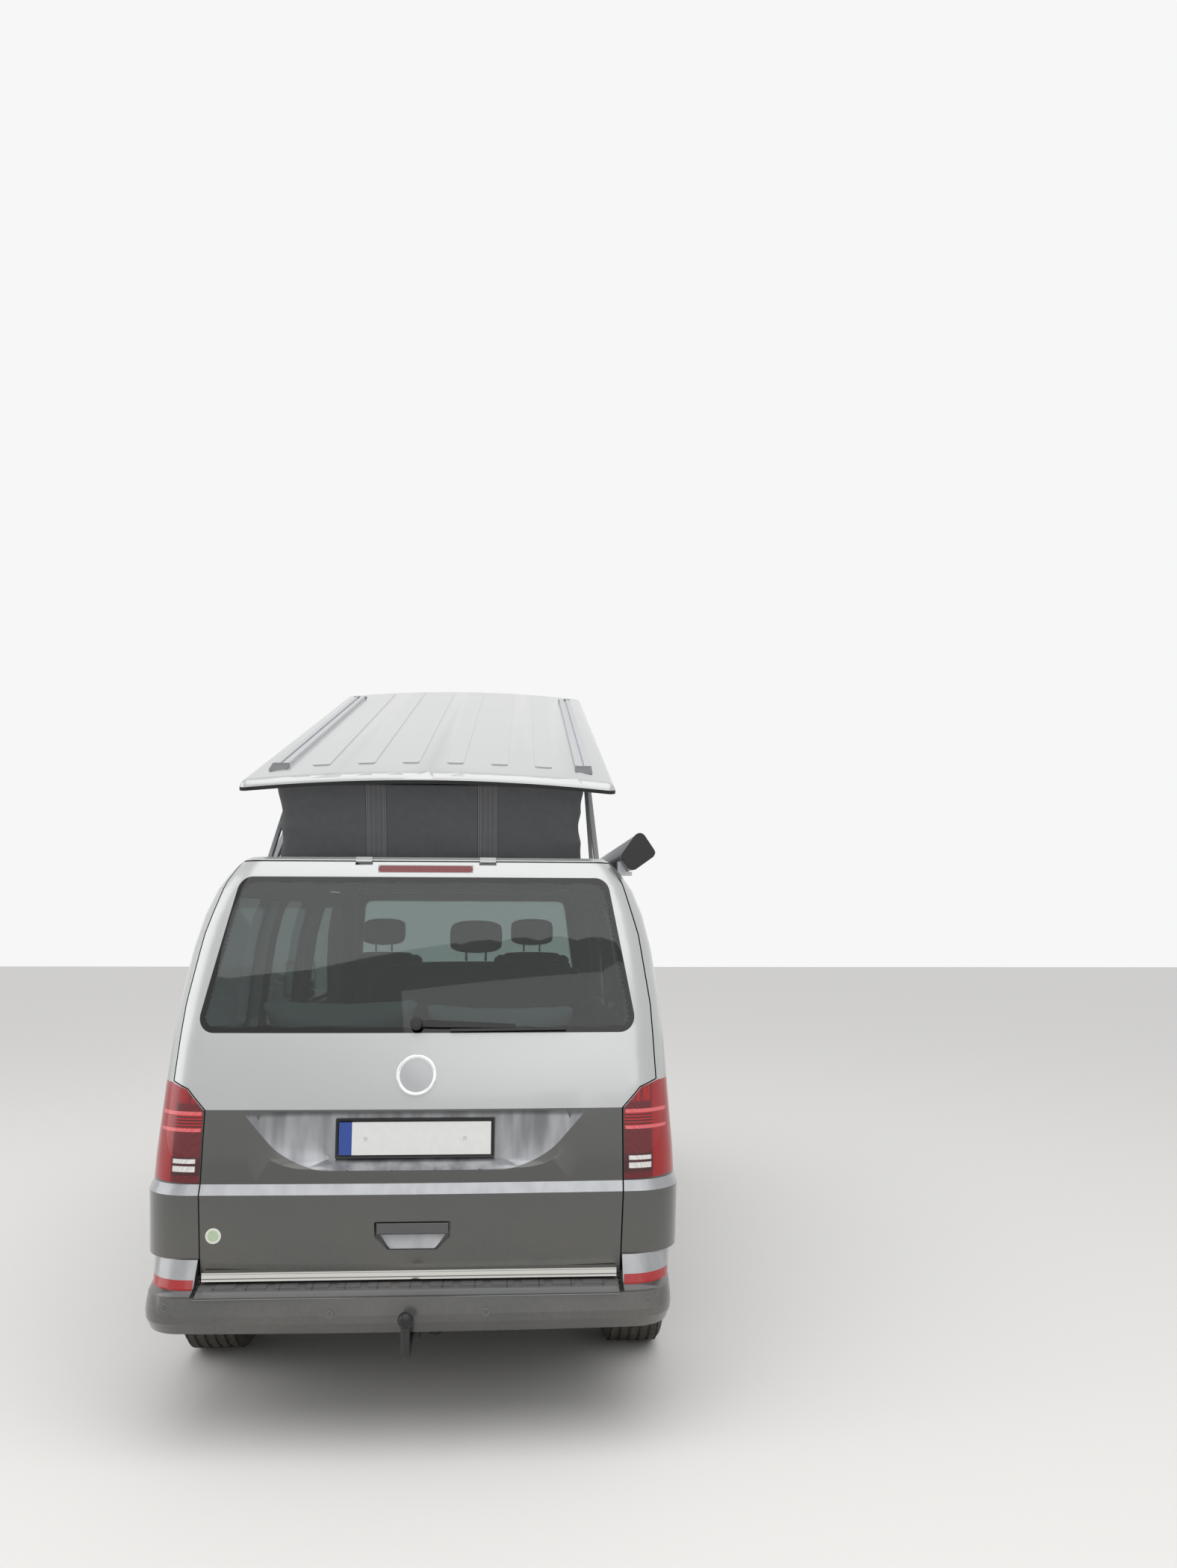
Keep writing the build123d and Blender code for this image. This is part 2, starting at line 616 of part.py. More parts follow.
lid_corner = 36
cavity_corner = lid_corner - lid_skirt
rib_count = 6
rib_pitch = 176
rib_half = 34
rib_height = 4
lid = lid_slab(0, lid_edge_depth)
shoulder = lid.faces().sort_by(Axis.Z)[-1].edges() + lid.edges().filter_by(Axis.Z)
lid = fillet(shoulder, lid_corner) - lid_crown_solid(lid_seal)
lid -= lid_slab(lid_skirt, lid_edge_depth - lid_skin, cavity_corner)
rib_skin = lid_crown_solid(lid_edge_depth + rib_height) - lid_crown_solid(lid_edge_depth - 2)
for count in range(rib_count):
    x = (count - (rib_count - 1) / 2) * rib_pitch
    lid += rib_skin & prism([(x - rib_half, 215, 0), (x + rib_half, 215, 0),
                             (x + rib_half, lid_length - 70, 0), (x - rib_half, lid_length - 70, 0)],
                            (0, 0, 200), 16)
for side in (-1, 1):
    lid += Pos(side * (main_ear[0] + main_ear[1]) / 2, main_eye_s, eye_n + 8) * Box(
        main_ear[1] - main_ear[0], ear_depth, 38)
    lid += Pos(side * (main_ear[0] + main_ear[2]) / 2, main_eye_s, eye_n) * Cylinder(
        pin_radius - fit, main_ear[2] - main_ear[0], rotation=(0, 90, 0))
save("roof_lid", raise_lid(lid))
seal = lid_slab(0, lid_seal - fit, lid_corner) - lid_crown_solid(0)
seal -= lid_slab(lid_skirt, lid_seal + 5, cavity_corner)
save("lid_seal", raise_lid(seal))

# Rails along the lid: flat extrusions with a slot, seated on the crown
rail_x = 600
rail_half = 31
rail_height = 16
slot_half = 6
rails = []
for side in (-1, 1):
    bar = Pos(side * rail_x, lid_length / 2, 100) * Box(2 * rail_half, lid_length - 480, 200)
    rail = (bar & lid_crown_solid(lid_edge_depth + rail_height)) - lid_crown_solid(lid_edge_depth + fit)
    groove = Pos(side * rail_x, lid_length / 2, 100) * Box(2 * slot_half, lid_length, 200)
    rails.append(raise_lid(rail - (groove - lid_crown_solid(lid_edge_depth + rail_height / 2))))
save("roof_rails", rails)

# Canvas: a hollow wedge between the ledge and the lid's underside
canvas_low = roof_ledge + fit
canvas_rear_low = recess_rear + 48
canvas_front_low = recess_front - 85
canvas_rear_high = lid_point(95, 16)
canvas_front_high = lid_point(lid_length - 90, 16)


def canvas_wedge(inset):
    half = canvas_half - inset
    return side_prism([(canvas_rear_low + inset, canvas_low), (canvas_front_low - inset, canvas_low),
                       (canvas_front_high[0] - inset, canvas_front_high[1]),
                       (canvas_rear_high[0] + inset, canvas_rear_high[1])], -half, half)


save("canvas", canvas_wedge(0) - canvas_wedge(canvas_wall))


# Lift arms: flat bars with an eye at each end
def lift_arm(ear, pivot_d, angle, length, depth):
    x0, x1 = ear[1] + seam, ear[2]
    bar = Box(x1 - x0, length, depth)
    for end in (-1, 1):
        bar += Pos(0, end * length / 2, 0) * Cylinder(depth / 2, x1 - x0, rotation=(0, 90, 0))
    for end in (-1, 1):
        bar -= Pos(0, end * length / 2, 0) * Cylinder(pin_radius, x1 - x0 + 2, rotation=(0, 90, 0))
    return Pos((x0 + x1) / 2, at(pivot_d), pivot_level) * Rot(angle, 0, 0) * Pos(0, length / 2, 0) * bar


save("main_arms", both(lift_arm(main_ear, main_pivot_d, main_arm_angle, main_arm_length, 26)))
save("rear_arms", both(lift_arm(rear_ear, rear_pivot_d, rear_arm_angle, rear_arm_length, 22)))

# Awning cassette along the right gutter
awning_outline = [(742, 1950), (815, 2055), (880, 1958), (782, 1888)]
awning_rear = 500
awning_front = front_axle - 916
awning = rear_prism(awning_outline, awning_rear, awning_front, 22)
for d in (awning_rear + 200, (awning_rear + awning_front) / 2, awning_front - 200):
    awning += block(735, 800, d - 30, d + 30, 1880, 1894) + block(742, 775, d - 30, d + 30, 1880, 1935)
save("awning", awning - skin_clear)


# Wheels: tyre and rim turned about X, the rim's disc pierced between and within five pairs of spokes
def ring_x(profile):
    # profile holds (radius, x)
    face = make_face(Polyline([(r, 0, x) for r, x in profile + profile[:1]]))
    return Rot(0, 90, 0) * revolve(face, Axis.Z)


half_tyre = tyre_width / 2
bead = rim_radius - 6
rim_inner = rim_radius - 26
disc_radius = rim_radius - 72
tyre = ring_x([(bead, -92), (rim_radius, -104), (rim_radius + 63, -half_tyre),
               (tyre_radius - 20, -half_tyre + 8), (tyre_radius - 4, -half_tyre + 26),
               (tyre_radius, -60), (tyre_radius, 60),
               (tyre_radius - 4, half_tyre - 26), (tyre_radius - 20, half_tyre - 8),
               (rim_radius + 63, half_tyre), (rim_radius, 104), (bead, 92)])
barrel_ring = ring_x([(rim_inner + 4, -98), (bead - fit, -98), (bead - fit, -90), (rim_inner + 12, -84),
                      (rim_inner + 12, 84), (bead - fit, 92 - fit), (bead - fit, 104), (rim_inner + 4, 104),
                      (rim_inner, 84), (rim_inner, -84)])
disc = ring_x([(hub_radius, 40), (rim_inner + 0.5, 55), (rim_inner + 0.5, 75), (disc_radius, 72), (70, 64),
               (hub_radius, 64)])
for turn in range(5):
    window = [(0, -18, 82), (0, 18, 82), (0, 56, rim_radius - 44), (0, -56, rim_radius - 44)]
    disc -= Rot(turn * 72, 0, 0) * prism(window, (150, 0, 0), 10)
    slit = [(0, -5, 95), (0, 5, 95), (0, 9, rim_radius - 50), (0, -9, rim_radius - 50)]
    disc -= Rot(turn * 72 + 36, 0, 0) * prism(slit, (150, 0, 0), 4)
    bolt = Pos(58, 0, 56) * Cylinder(10, 20, rotation=(0, 90, 0))
    disc -= Rot(turn * 72 + 36, 0, 0) * bolt
brake_disc = ring_x([(hub_radius, 4), (disc_radius, 4), (disc_radius, 24), (75, 24), (75, 42),
                     (hub_radius, 42)])
rim = barrel_ring + disc + brake_disc

for end, axle in (("front", front_axle), ("rear", rear_axle)):
    for side, hand in ((-1, "left"), (1, "right")):
        place = Pos(side * track / 2, at(axle), tyre_radius)
        for name, shape in (("tyre", tyre), ("rim", rim)):
            wheel = place * (shape if side > 0 else mirrored(shape))
            save(end + "_" + hand + "_" + name, wheel)

# Knuckles, subframes and what else shows from below
half_track = track / 2
kingpin_x = half_track - kingpin_inset
axle_z = tyre_radius
arm_low = axle_z - 155
arm_high = axle_z - 131
ball_boss = 20


def caliper(axle):
    # Straddles the brake disc behind the axle, on a bracket from the knuckle's plane
    low, high = axle_z - 70, axle_z + 70
    body = tube_x(half_track - 18, half_track + 40, axle, axle_z, rim_inner - 14, disc_radius - 38)
    body &= block(half_track - 18, half_track + 40, axle - 200, axle - 60, low, high)
    body -= tube_x(half_track - 1, half_track + 29, axle, axle_z, disc_radius + 5)
    bracket = block(half_track - 109, half_track - 89, axle - 165, axle - 30, axle_z - 35, axle_z + 35)
    bracket += block(half_track - 109, half_track - 1, axle - 176, axle - 126, axle_z - 35, axle_z + 35)
    return body + bracket


def knuckle(side):
    upright = block(half_track - 114, half_track - 74, front_axle - 40, front_axle + 40,
                    axle_z - 110, axle_z + 125)
    foot = block(half_track - 114, kingpin_x + 14, front_axle - 20, front_axle + 20,
                 axle_z - 119, axle_z - 99)
    stub = tube_x(half_track - 114, half_track + 58, front_axle, axle_z, hub_radius - fit)
    pin = tube_z(kingpin_x, front_axle, arm_low - 8, axle_z - 115, 12)
    steer_arm = block(half_track - 114, half_track - 84, front_axle + 30, front_axle + 150,
                      axle_z - 55, axle_z - 30)
    shape = upright + foot + stub + pin + steer_arm + caliper(front_axle)
    return shape if side > 0 else mirrored(shape)


save("left_knuckle", knuckle(-1))
save("right_knuckle", knuckle(1))

arm_plan = [(330, front_axle - 190), (330, front_axle + 60), (400, front_axle + 60), (600, front_axle + 30),
            (kingpin_x, front_axle + ball_boss), (kingpin_x, front_axle - ball_boss), (600, front_axle - 34),
            (440, front_axle - 120), (400, front_axle - 190)]
lower_arm = plan_prism(arm_plan, arm_low, arm_high)
lower_arm += tube_z(kingpin_x, front_axle, arm_low, arm_high, ball_boss)
lower_arm -= tube_z(kingpin_x, front_axle, arm_low - 10, arm_high + 10, 12 + fit)
strut = tube_z(600, front_axle, axle_z + 133, 700, 28) + tube_z(585, front_axle, 560, 760, 58)
strut &= tube_x(400, 800, front_axle, tyre_radius, arch_radius - fit)
cradle = block(-330, 330, front_axle - 190, front_axle + 60, arm_low, arm_low + 60)
post = block(330, rail_outer, front_axle - 190, front_axle - 130, arm_low, arm_low + 60)
post += block(rail_inner, rail_outer, front_axle - 190, front_axle - 130, arm_low, rail_low - fit)
save("front_subframe", cradle + lower_arm + mirrored(lower_arm) + post + mirrored(post))
save("front_struts", both(strut))
save("chassis_rails", both(block(rail_inner, rail_outer, 300, front_axle + 724, rail_low, floor_base)))

# Rear axle: trailing arms, final drive and the shaft that brings the drive from the engine
shaft_x = -30
shaft_radius = 32
engine_rear = front_axle + 84
rear_arm = block(480, 560, rear_axle - 60, rear_axle + 620, axle_z - 55, axle_z + 25)
hub_carrier = block(560, 690, rear_axle - 50, rear_axle + 50, axle_z - 75, axle_z + 75)
carrier_arm = block(660, half_track - 89, rear_axle - 60, rear_axle + 40, axle_z - 35, axle_z + 35)
rear_stub = tube_x(600, half_track + 58, rear_axle, axle_z, hub_radius - fit)
half_shaft = tube_x(120, 600, rear_axle, axle_z, 16)
rear_spring = tube_z(520, rear_axle, axle_z + 5, floor_base - fit, 50)
rear_half = rear_arm + hub_carrier + carrier_arm + rear_stub + half_shaft + rear_spring + caliper(rear_axle)
rear_cross = block(-480, 480, rear_axle + 130, rear_axle + 220, axle_z + 7, rail_low - fit)
rear_cross -= tube_y(shaft_x, rear_axle + 120, rear_axle + 230, axle_z, shaft_radius + seam)
final_drive = block(-120, 130, rear_axle - 130, rear_axle + 120, axle_z - 75, rail_low - 10)
shaft = tube_y(shaft_x, rear_axle + 110, engine_rear - fit, axle_z, shaft_radius)
save("rear_subframe", rear_half + mirrored(rear_half) + rear_cross + final_drive + shaft)

engine = block(-360, 330, engine_rear, front_axle + 564, 300, 860)
engine = fillet(engine.edges().filter_by(Axis.Y), 40)
mounts = block(-rail_inner + fit, rail_inner - fit, front_axle + 264, front_axle + 344,
               rail_low + 10, rail_low + 60)
save("engine_block", engine + mounts)
save("radiator", block(-400, 400, front_axle + 644, front_axle + 694, 330, 800))

tank = block(40, rail_inner - 15, front_axle - 1646, front_axle - 946, 290, floor_base - fit)
save("fuel_tank", fillet(tank.edges().filter_by(Axis.Z), 40))
pipe_x = -235
pipe_z = 300
exhaust = tube_x(-230, 330, 640, 330, 85) + tube_y(pipe_x, 600, front_axle - 496, pipe_z, 26)
for d in (rear_axle + 504, front_axle - 796):
    exhaust += block(pipe_x - 10, pipe_x + 10, d - 20, d + 20, pipe_z, floor_base - fit)
save("exhaust", exhaust)

# Tow bar: a cross beam behind the bumper and a swan neck that ends in the ball
ball_radius = 25
ball_d = ball_radius - tow_reach
ball_z = 437
neck_radius = 15
beam = block(-560, 560, 122, 190, 370, 450)
for side in (-1, 1):
    beam += block(side * rail_inner, side * rail_outer, 122, 300 - fit, rail_low + 4, 450)
socket = block(-32, 32, 76, 130, 318, 400)
neck_path = FilletPolyline((0, at(100), 345), (0, at(ball_d + 12), 306), (0, at(ball_d), ball_z - 10),
                           radius=38)
neck = sweep(Plane(origin=neck_path @ 0, z_dir=neck_path % 0) * Circle(neck_radius), neck_path)
ball = Pos(0, at(ball_d), ball_z) * Sphere(ball_radius)
save("tow_bar", beam + socket + neck + ball)

# Cabin furniture seen through the glass
dash_outline = ahead(front_axle, [(-496, 760), (-66, 700), (-66, 1095), (-146, 1150), (-356, 1140),
                                  (-476, 1060)])
dash = side_prism(dash_outline, -700, 700, 25)
column_angle = 28
wheel_x = -420
wheel_d = front_axle - 596
column = Pos(wheel_x, at(wheel_d), 1075) * Rot(90 - column_angle, 0, 0)
column_radius = 20
ring = Torus(185, 14)
spoke = Box(360, 34, 14) + Cylinder(60, 30)
steering_wheel = column * (ring + spoke + Pos(0, 0, -110) * Cylinder(column_radius, 200))
save("steering_wheel", steering_wheel)
dash -= liner_cut + mirrored(liner_cut) + column * Pos(0, 0, -150) * Cylinder(column_radius + fit, 290)
save("dashboard", dash)


def seat(x, d, width):
    base = block(x - width / 2 + 40, x + width / 2 - 40, d - 200, d + 220, floor_top + fit, 800)
    cushion = block(x - width / 2, x + width / 2, d - 260, d + 260, 800, 930)
    back = side_prism([(d - 270, 900), (d - 130, 900), (d - 240, 1520), (d - 350, 1520)],
                      x - width / 2 + 15, x + width / 2 - 15, 30)
    head = side_prism([(d - 345, 1530), (d - 250, 1530), (d - 265, 1700), (d - 340, 1700)],
                      x - 125, x + 125, 25)
    posts = block(x - 60, x + 60, d - 302, d - 290, 1500, 1560)
    return base + fillet(cushion.edges().filter_by(Axis.X), 35) + back + head + posts


save("front_seats", [seat(wheel_x, front_axle - 996, 500), seat(-wheel_x, front_axle - 996, 500)])
save("rear_bench", seat(150, rear_axle + 754, 1040))
kitchen = block(-860, -480, rear_axle + 424, slider_front, floor_top + fit, 1120) & lining
bed_level = 960
bed_front = rear_axle + 384
bed = block(-700, 700, 330, bed_front, bed_level, bed_level + 100)
bed_box = block(-560, 560, 420, bed_front, floor_top + fit, bed_level - fit)
save("cabin_units", [kitchen, bed_box])
save("rear_bed", fillet(bed.edges().filter_by(Axis.Z), 60))
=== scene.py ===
import bpy
import math
import random
from mathutils import Matrix, Vector


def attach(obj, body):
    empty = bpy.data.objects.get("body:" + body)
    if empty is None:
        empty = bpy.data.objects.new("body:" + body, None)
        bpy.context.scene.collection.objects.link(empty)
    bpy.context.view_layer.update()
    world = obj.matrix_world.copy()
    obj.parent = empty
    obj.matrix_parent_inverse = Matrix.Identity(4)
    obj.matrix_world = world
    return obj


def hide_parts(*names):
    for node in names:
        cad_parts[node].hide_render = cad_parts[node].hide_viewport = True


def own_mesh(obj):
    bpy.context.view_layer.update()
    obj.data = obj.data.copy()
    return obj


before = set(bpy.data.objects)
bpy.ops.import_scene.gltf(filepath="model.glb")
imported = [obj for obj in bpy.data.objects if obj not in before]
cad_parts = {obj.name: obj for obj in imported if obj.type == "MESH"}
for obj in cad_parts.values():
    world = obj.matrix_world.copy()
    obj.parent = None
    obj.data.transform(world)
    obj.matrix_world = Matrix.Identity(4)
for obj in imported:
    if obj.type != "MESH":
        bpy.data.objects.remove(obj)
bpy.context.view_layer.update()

tail = -2.3985  # y of the rear bumper's face; d below is the distance forward of it


def at(d):
    return tail + d


# Node helpers


def node(tree, kind, **settings):
    made = tree.nodes.new(kind)
    for key, value in settings.items():
        setattr(made, key, value)
    return made


def link(source, target):
    target.id_data.links.new(source.socket, target)


def plug(socket, value):
    # a socket takes another node's output, a number, or a colour without its fourth number
    if isinstance(value, Signal):
        link(value, socket)
    elif isinstance(value, tuple) and socket.type == "RGBA":
        socket.default_value = (*value, 1)
    else:
        socket.default_value = value


def feed(made, **values):
    for key, value in values.items():
        plug(made.inputs[key.replace("_", " ")], value)


def mathNode(operation, *values):
    tree = next(value.socket.id_data for value in values if isinstance(value, Signal))
    made = node(tree, "ShaderNodeMath", operation=operation)
    for socket, value in zip(made.inputs, values):
        plug(socket, value)
    return Signal(made.outputs[0])


class Signal:
    # a node's output that can be written in sums, each step of which adds its own node

    def __init__(self, socket):
        self.socket = socket

    __add__ = __radd__ = lambda self, other: mathNode("ADD", self, other)
    __mul__ = __rmul__ = lambda self, other: mathNode("MULTIPLY", self, other)
    __sub__ = lambda self, other: mathNode("SUBTRACT", self, other)
    __rsub__ = lambda self, other: mathNode("SUBTRACT", other, self)
    __truediv__ = lambda self, other: mathNode("DIVIDE", self, other)
    __gt__ = lambda self, other: mathNode("GREATER_THAN", self, other)
    __lt__ = lambda self, other: mathNode("LESS_THAN", self, other)
    __abs__ = lambda self: mathNode("ABSOLUTE", self)

    def ramp(self, low, high, smooth=False):
        made = node(self.socket.id_data, "ShaderNodeMapRange")
        if smooth:
            made.interpolation_type = "SMOOTHSTEP"
        feed(made, Value=self, From_Min=low, From_Max=high)
        return Signal(made.outputs[0])

    def between(self, low, high, edge=0.001):
        return self.ramp(low - edge, low + edge) * self.ramp(high + edge, high - edge)

    def tint(self, first, second):
        # the first colour where this is 0, the second where it is 1
        made = node(self.socket.id_data, "ShaderNodeMix", data_type="RGBA")
        for index, value in ((0, self), (6, first), (7, second)):
            plug(made.inputs[index], value)
        return Signal(made.outputs[2])

    def blend(self, first, second):
        # the same between two numbers
        made = node(self.socket.id_data, "ShaderNodeMix")
        for index, value in ((0, self), (2, first), (3, second)):
            plug(made.inputs[index], value)
        return Signal(made.outputs[0])

    def shades(self, colour, low, high):
        # a colour that runs from darker to lighter
        return self.tint(shade(colour, low), shade(colour, high))

    def stretched(self, scale):
        made = node(self.socket.id_data, "ShaderNodeMapping")
        feed(made, Scale=scale, Vector=self)
        return Signal(made.outputs[0])

    def noise(self, scale, detail=3.0, rough=0.55):
        made = node(self.socket.id_data, "ShaderNodeTexNoise")
        feed(made, Vector=self, Scale=scale, Detail=detail, Roughness=rough)
        return Signal(made.outputs[0])

    def cells(self, scale, randomness=1.0):
        made = node(self.socket.id_data, "ShaderNodeTexVoronoi")
        feed(made, Vector=self, Scale=scale, Randomness=randomness)
        return Signal(made.outputs["Distance"])

    def bump(self, strength, depth):
        made = node(self.socket.id_data, "ShaderNodeBump")
        feed(made, Height=self, Strength=strength, Distance=depth)
        return Signal(made.outputs[0])


def shade(colour, share):
    return tuple(c * share for c in colour)


def out(made, name=0):
    return Signal(made.outputs[name])


def larger(first, second):
    return mathNode("MAXIMUM", first, second)


def smaller(first, second):
    return mathNode("MINIMUM", first, second)


def sine(value):
    return mathNode("SINE", value)


def distance(first, second):
    return mathNode("SQRT", first * first + second * second)


def objectPlace(tree):
    place = out(node(tree, "ShaderNodeTexCoord"), "Object")
    split = node(tree, "ShaderNodeSeparateXYZ")
    link(place, split.inputs[0])
    return place, out(split, 0), out(split, 1), out(split, 2)


def startMaterial(name, **values):
    paint = bpy.data.materials.new(name)
    paint.use_nodes = True
    shader = paint.node_tree.nodes["Principled BSDF"]
    feed(shader, **values)
    return paint, paint.node_tree, shader


# Camera, floor and lights

cameraSetup = {
    "place": (0.355, -6.3305, 1.736),
    "yaw": 3.34,
    "pitch": 6.34,
    "roll": 0.2,
    "lens": 26.295,
    "sensor": 36,
}
studio = {
    "floorSize": 60,
    "floorColour": (0.80, 0.79, 0.77),
    "skyAbove": (0.85, (1.0, 1.0, 1.0, 1)),
    "skyLevel": (0.52, (0.62, 0.64, 0.66, 1)),
    "skyBelow": (0.42, (0.42, 0.42, 0.42, 1)),
    "ambient": 0.82,
    "backdrop": 0.93,
}


def makeCamera(setup):
    data = bpy.data.cameras.new("camera")
    data.sensor_fit = "VERTICAL"
    data.sensor_height = setup["sensor"]
    data.lens = setup["lens"]
    data.clip_end = 200
    camera = bpy.data.objects.new("camera", data)
    bpy.context.scene.collection.objects.link(camera)
    turn = (Matrix.Rotation(math.radians(-setup["yaw"]), 4, "Z")
            @ Matrix.Rotation(math.radians(90 + setup["pitch"]), 4, "X")
            @ Matrix.Rotation(math.radians(setup["roll"]), 4, "Z"))
    camera.matrix_world = Matrix.Translation(setup["place"]) @ turn
    bpy.context.scene.camera = camera


def makeLamp(name, place, size, power, aim):
    data = bpy.data.lights.new(name, "AREA")
    data.shape = "RECTANGLE"
    data.size, data.size_y = size
    data.energy = power
    lamp = bpy.data.objects.new(name, data)
    bpy.context.scene.collection.objects.link(lamp)
    lamp.location = place
    lamp.rotation_euler = (Vector(aim) - Vector(place)).to_track_quat("-Z", "Y").to_euler()


def makeWorld(setup):
    world = bpy.data.worlds.new("softRoom")
    bpy.context.scene.world = world
    world.use_nodes = True
    tree = world.node_tree
    tree.nodes.clear()
    split = node(tree, "ShaderNodeSeparateXYZ")
    feed(split, Vector=out(node(tree, "ShaderNodeTexCoord"), "Generated"))
    sky = node(tree, "ShaderNodeValToRGB")
    feed(sky, Fac=out(split, "Z") * 0.5 + 0.5)
    below, above = sky.color_ramp.elements
    below.position, below.color = setup["skyBelow"]
    above.position, above.color = setup["skyAbove"]
    position, colour = setup["skyLevel"]
    sky.color_ramp.elements.new(position).color = colour
    room, backdrop = node(tree, "ShaderNodeBackground"), node(tree, "ShaderNodeBackground")
    feed(room, Color=out(sky), Strength=setup["ambient"])
    feed(backdrop, Color=(1, 1, 1), Strength=setup["backdrop"])
    path = node(tree, "ShaderNodeLightPath")
    seen = out(path, "Is Camera Ray")
    for title in ("Is Glossy Ray", "Is Transmission Ray"):
        seen = larger(seen, out(path, title))
    mix = node(tree, "ShaderNodeMixShader")
    for socket, value in zip(mix.inputs, (seen, out(room), out(backdrop))):
        plug(socket, value)
    feed(node(tree, "ShaderNodeOutputWorld"), Surface=out(mix))


def makeFloor(setup):
    bpy.ops.mesh.primitive_plane_add(size=setup["floorSize"], location=(0, 0, 0))
    floor = bpy.context.object
    floor.name = "studioFloor"
    paint = startMaterial("studioFloor", Base_Color=setup["floorColour"], Roughness=0.9,
                          Specular_IOR_Level=0.1)[0]
    floor.data.materials.append(paint)


makeCamera(cameraSetup)
makeWorld(studio)
makeFloor(studio)
makeLamp("overheadSoftbox", (0.5, -3.5, 6.5), (8, 7), 190, (0, 0, 1))
makeLamp("sideSoftbox", (-6.5, -2.0, 3.4), (4, 6), 80, (0, 0, 1))
makeLamp("rearSoftbox", (2.5, -9.5, 4.2), (7, 4), 60, (0, -1.5, 1.2))
bpy.context.scene.view_settings.view_transform = "Standard"
print("stage ready")

# Shared effects


def makeGroup(name, inputs, outputs):
    tree = bpy.data.node_groups.new(name, "ShaderNodeTree")
    for title, value in inputs.items():
        socket = tree.interface.new_socket(title, in_out="INPUT", socket_type="NodeSocketFloat")
        socket.default_value = value
    for title in outputs:
        tree.interface.new_socket(title, in_out="OUTPUT", socket_type="NodeSocketFloat")
    return tree, node(tree, "NodeGroupInput"), node(tree, "NodeGroupOutput")


def makeDust():
    tree, entry, leave = makeGroup("roadDust", {"Top": 0.75, "Amount": 0.5}, ("Mask",))
    place, _, _, z = objectPlace(tree)
    patch = (place.noise(3.0, 5.0) + place.noise(60.0) * 0.5).ramp(0.45, 1.05)
    feed(leave, Mask=z.ramp(out(entry, "Top"), 0.22) * patch * out(entry, "Amount"))
    return tree


def makeGrain():
    tree, entry, leave = makeGroup("mouldedGrain", {"Scale": 900.0}, ("Height", "Mask"))
    place = objectPlace(tree)[0]
    feed(leave, Height=place.cells(out(entry, "Scale")).ramp(0.1, 0.6), Mask=place.noise(7.0, 4.0))
    return tree


def makeWeave():
    tree, entry, leave = makeGroup("clothWeave", {"Scale": 500.0}, ("Height", "Mask"))
    place, x, y, z = objectPlace(tree)
    threads = [sine(run * out(entry, "Scale") * 6.283) for run in (x + y, z - y * 0.6)]
    feed(leave, Height=(threads[0] * threads[1]).ramp(-1.0, 1.0), Mask=place.noise(35.0, 5.0))
    return tree


dust, grain, weave = makeDust(), makeGrain(), makeWeave()


def useGroup(tree, group, **values):
    made = node(tree, "ShaderNodeGroup", node_tree=group)
    feed(made, **values)
    return made


def addDust(tree, shader, colour, roughness, top=0.75, amount=0.5, dirt=(0.30, 0.26, 0.21)):
    mask = out(useGroup(tree, dust, Top=top, Amount=amount), "Mask")
    feed(shader, Base_Color=mask.tint(colour, dirt), Roughness=mask.blend(roughness, 0.85))
    return mask


# Paints, glass, plastics and metals

finish = {
    "silver": (0.475, 0.488, 0.485),
    "grey": (0.086, 0.088, 0.084),
    "bumperGrey": (0.076, 0.078, 0.079),
    # bright: a lighter paint for faces that catch the sky, a painted highlight in place of the sky's
    # reflection
    "bright": (0.30, 0.308, 0.322),
    "trimInside": (0.16, 0.16, 0.155),
    "frit": (0.006, 0.006, 0.007),
    "split": 1.056,  # z where the grey paint ends
    "scoopSlope": 0.904,
    "scoopRound": 0.09,
    "scoopLow": 0.857,
    "scoopKnee": (0.467, 0.914),
    # z span of a painted shadow under the scoop's top edge
    "scoopPaintedShadow": (1.026, 1.044),
    "padX": (-0.696, 0.696),
    "padLow": (0.4895, 0.4905),
    "padRear": (-2.0, -2.05),
    "lipHighlight": (0.48, 0.4895),
    "lipRear": (-2.325, -2.335),
    "cowl": (1.1285, 1.1735),
    "cowlX": (-0.772, 0.772),
    "cowlFront": (1.59, 1.6),
}


def vectorStep(operation, first, second):
    made = node(first.socket.id_data, "ShaderNodeVectorMath", operation=operation)
    plug(made.inputs[0], first)
    plug(made.inputs[1], second)
    return out(made, "Value" if operation == "DOT_PRODUCT" else 0)


def insideMask(tree, place):
    # faces that look towards the middle of the van, 1 m above the ground
    turn = node(tree, "ShaderNodeVectorTransform", vector_type="NORMAL", convert_from="WORLD",
                convert_to="OBJECT")
    feed(turn, Vector=out(node(tree, "ShaderNodeNewGeometry"), "Normal"))
    flat = vectorStep("MULTIPLY", vectorStep("SUBTRACT", place, (0, 0, 1.0)), (1, 0.33, 0.25))
    return vectorStep("DOT_PRODUCT", out(turn), flat).ramp(-0.02, -0.06)


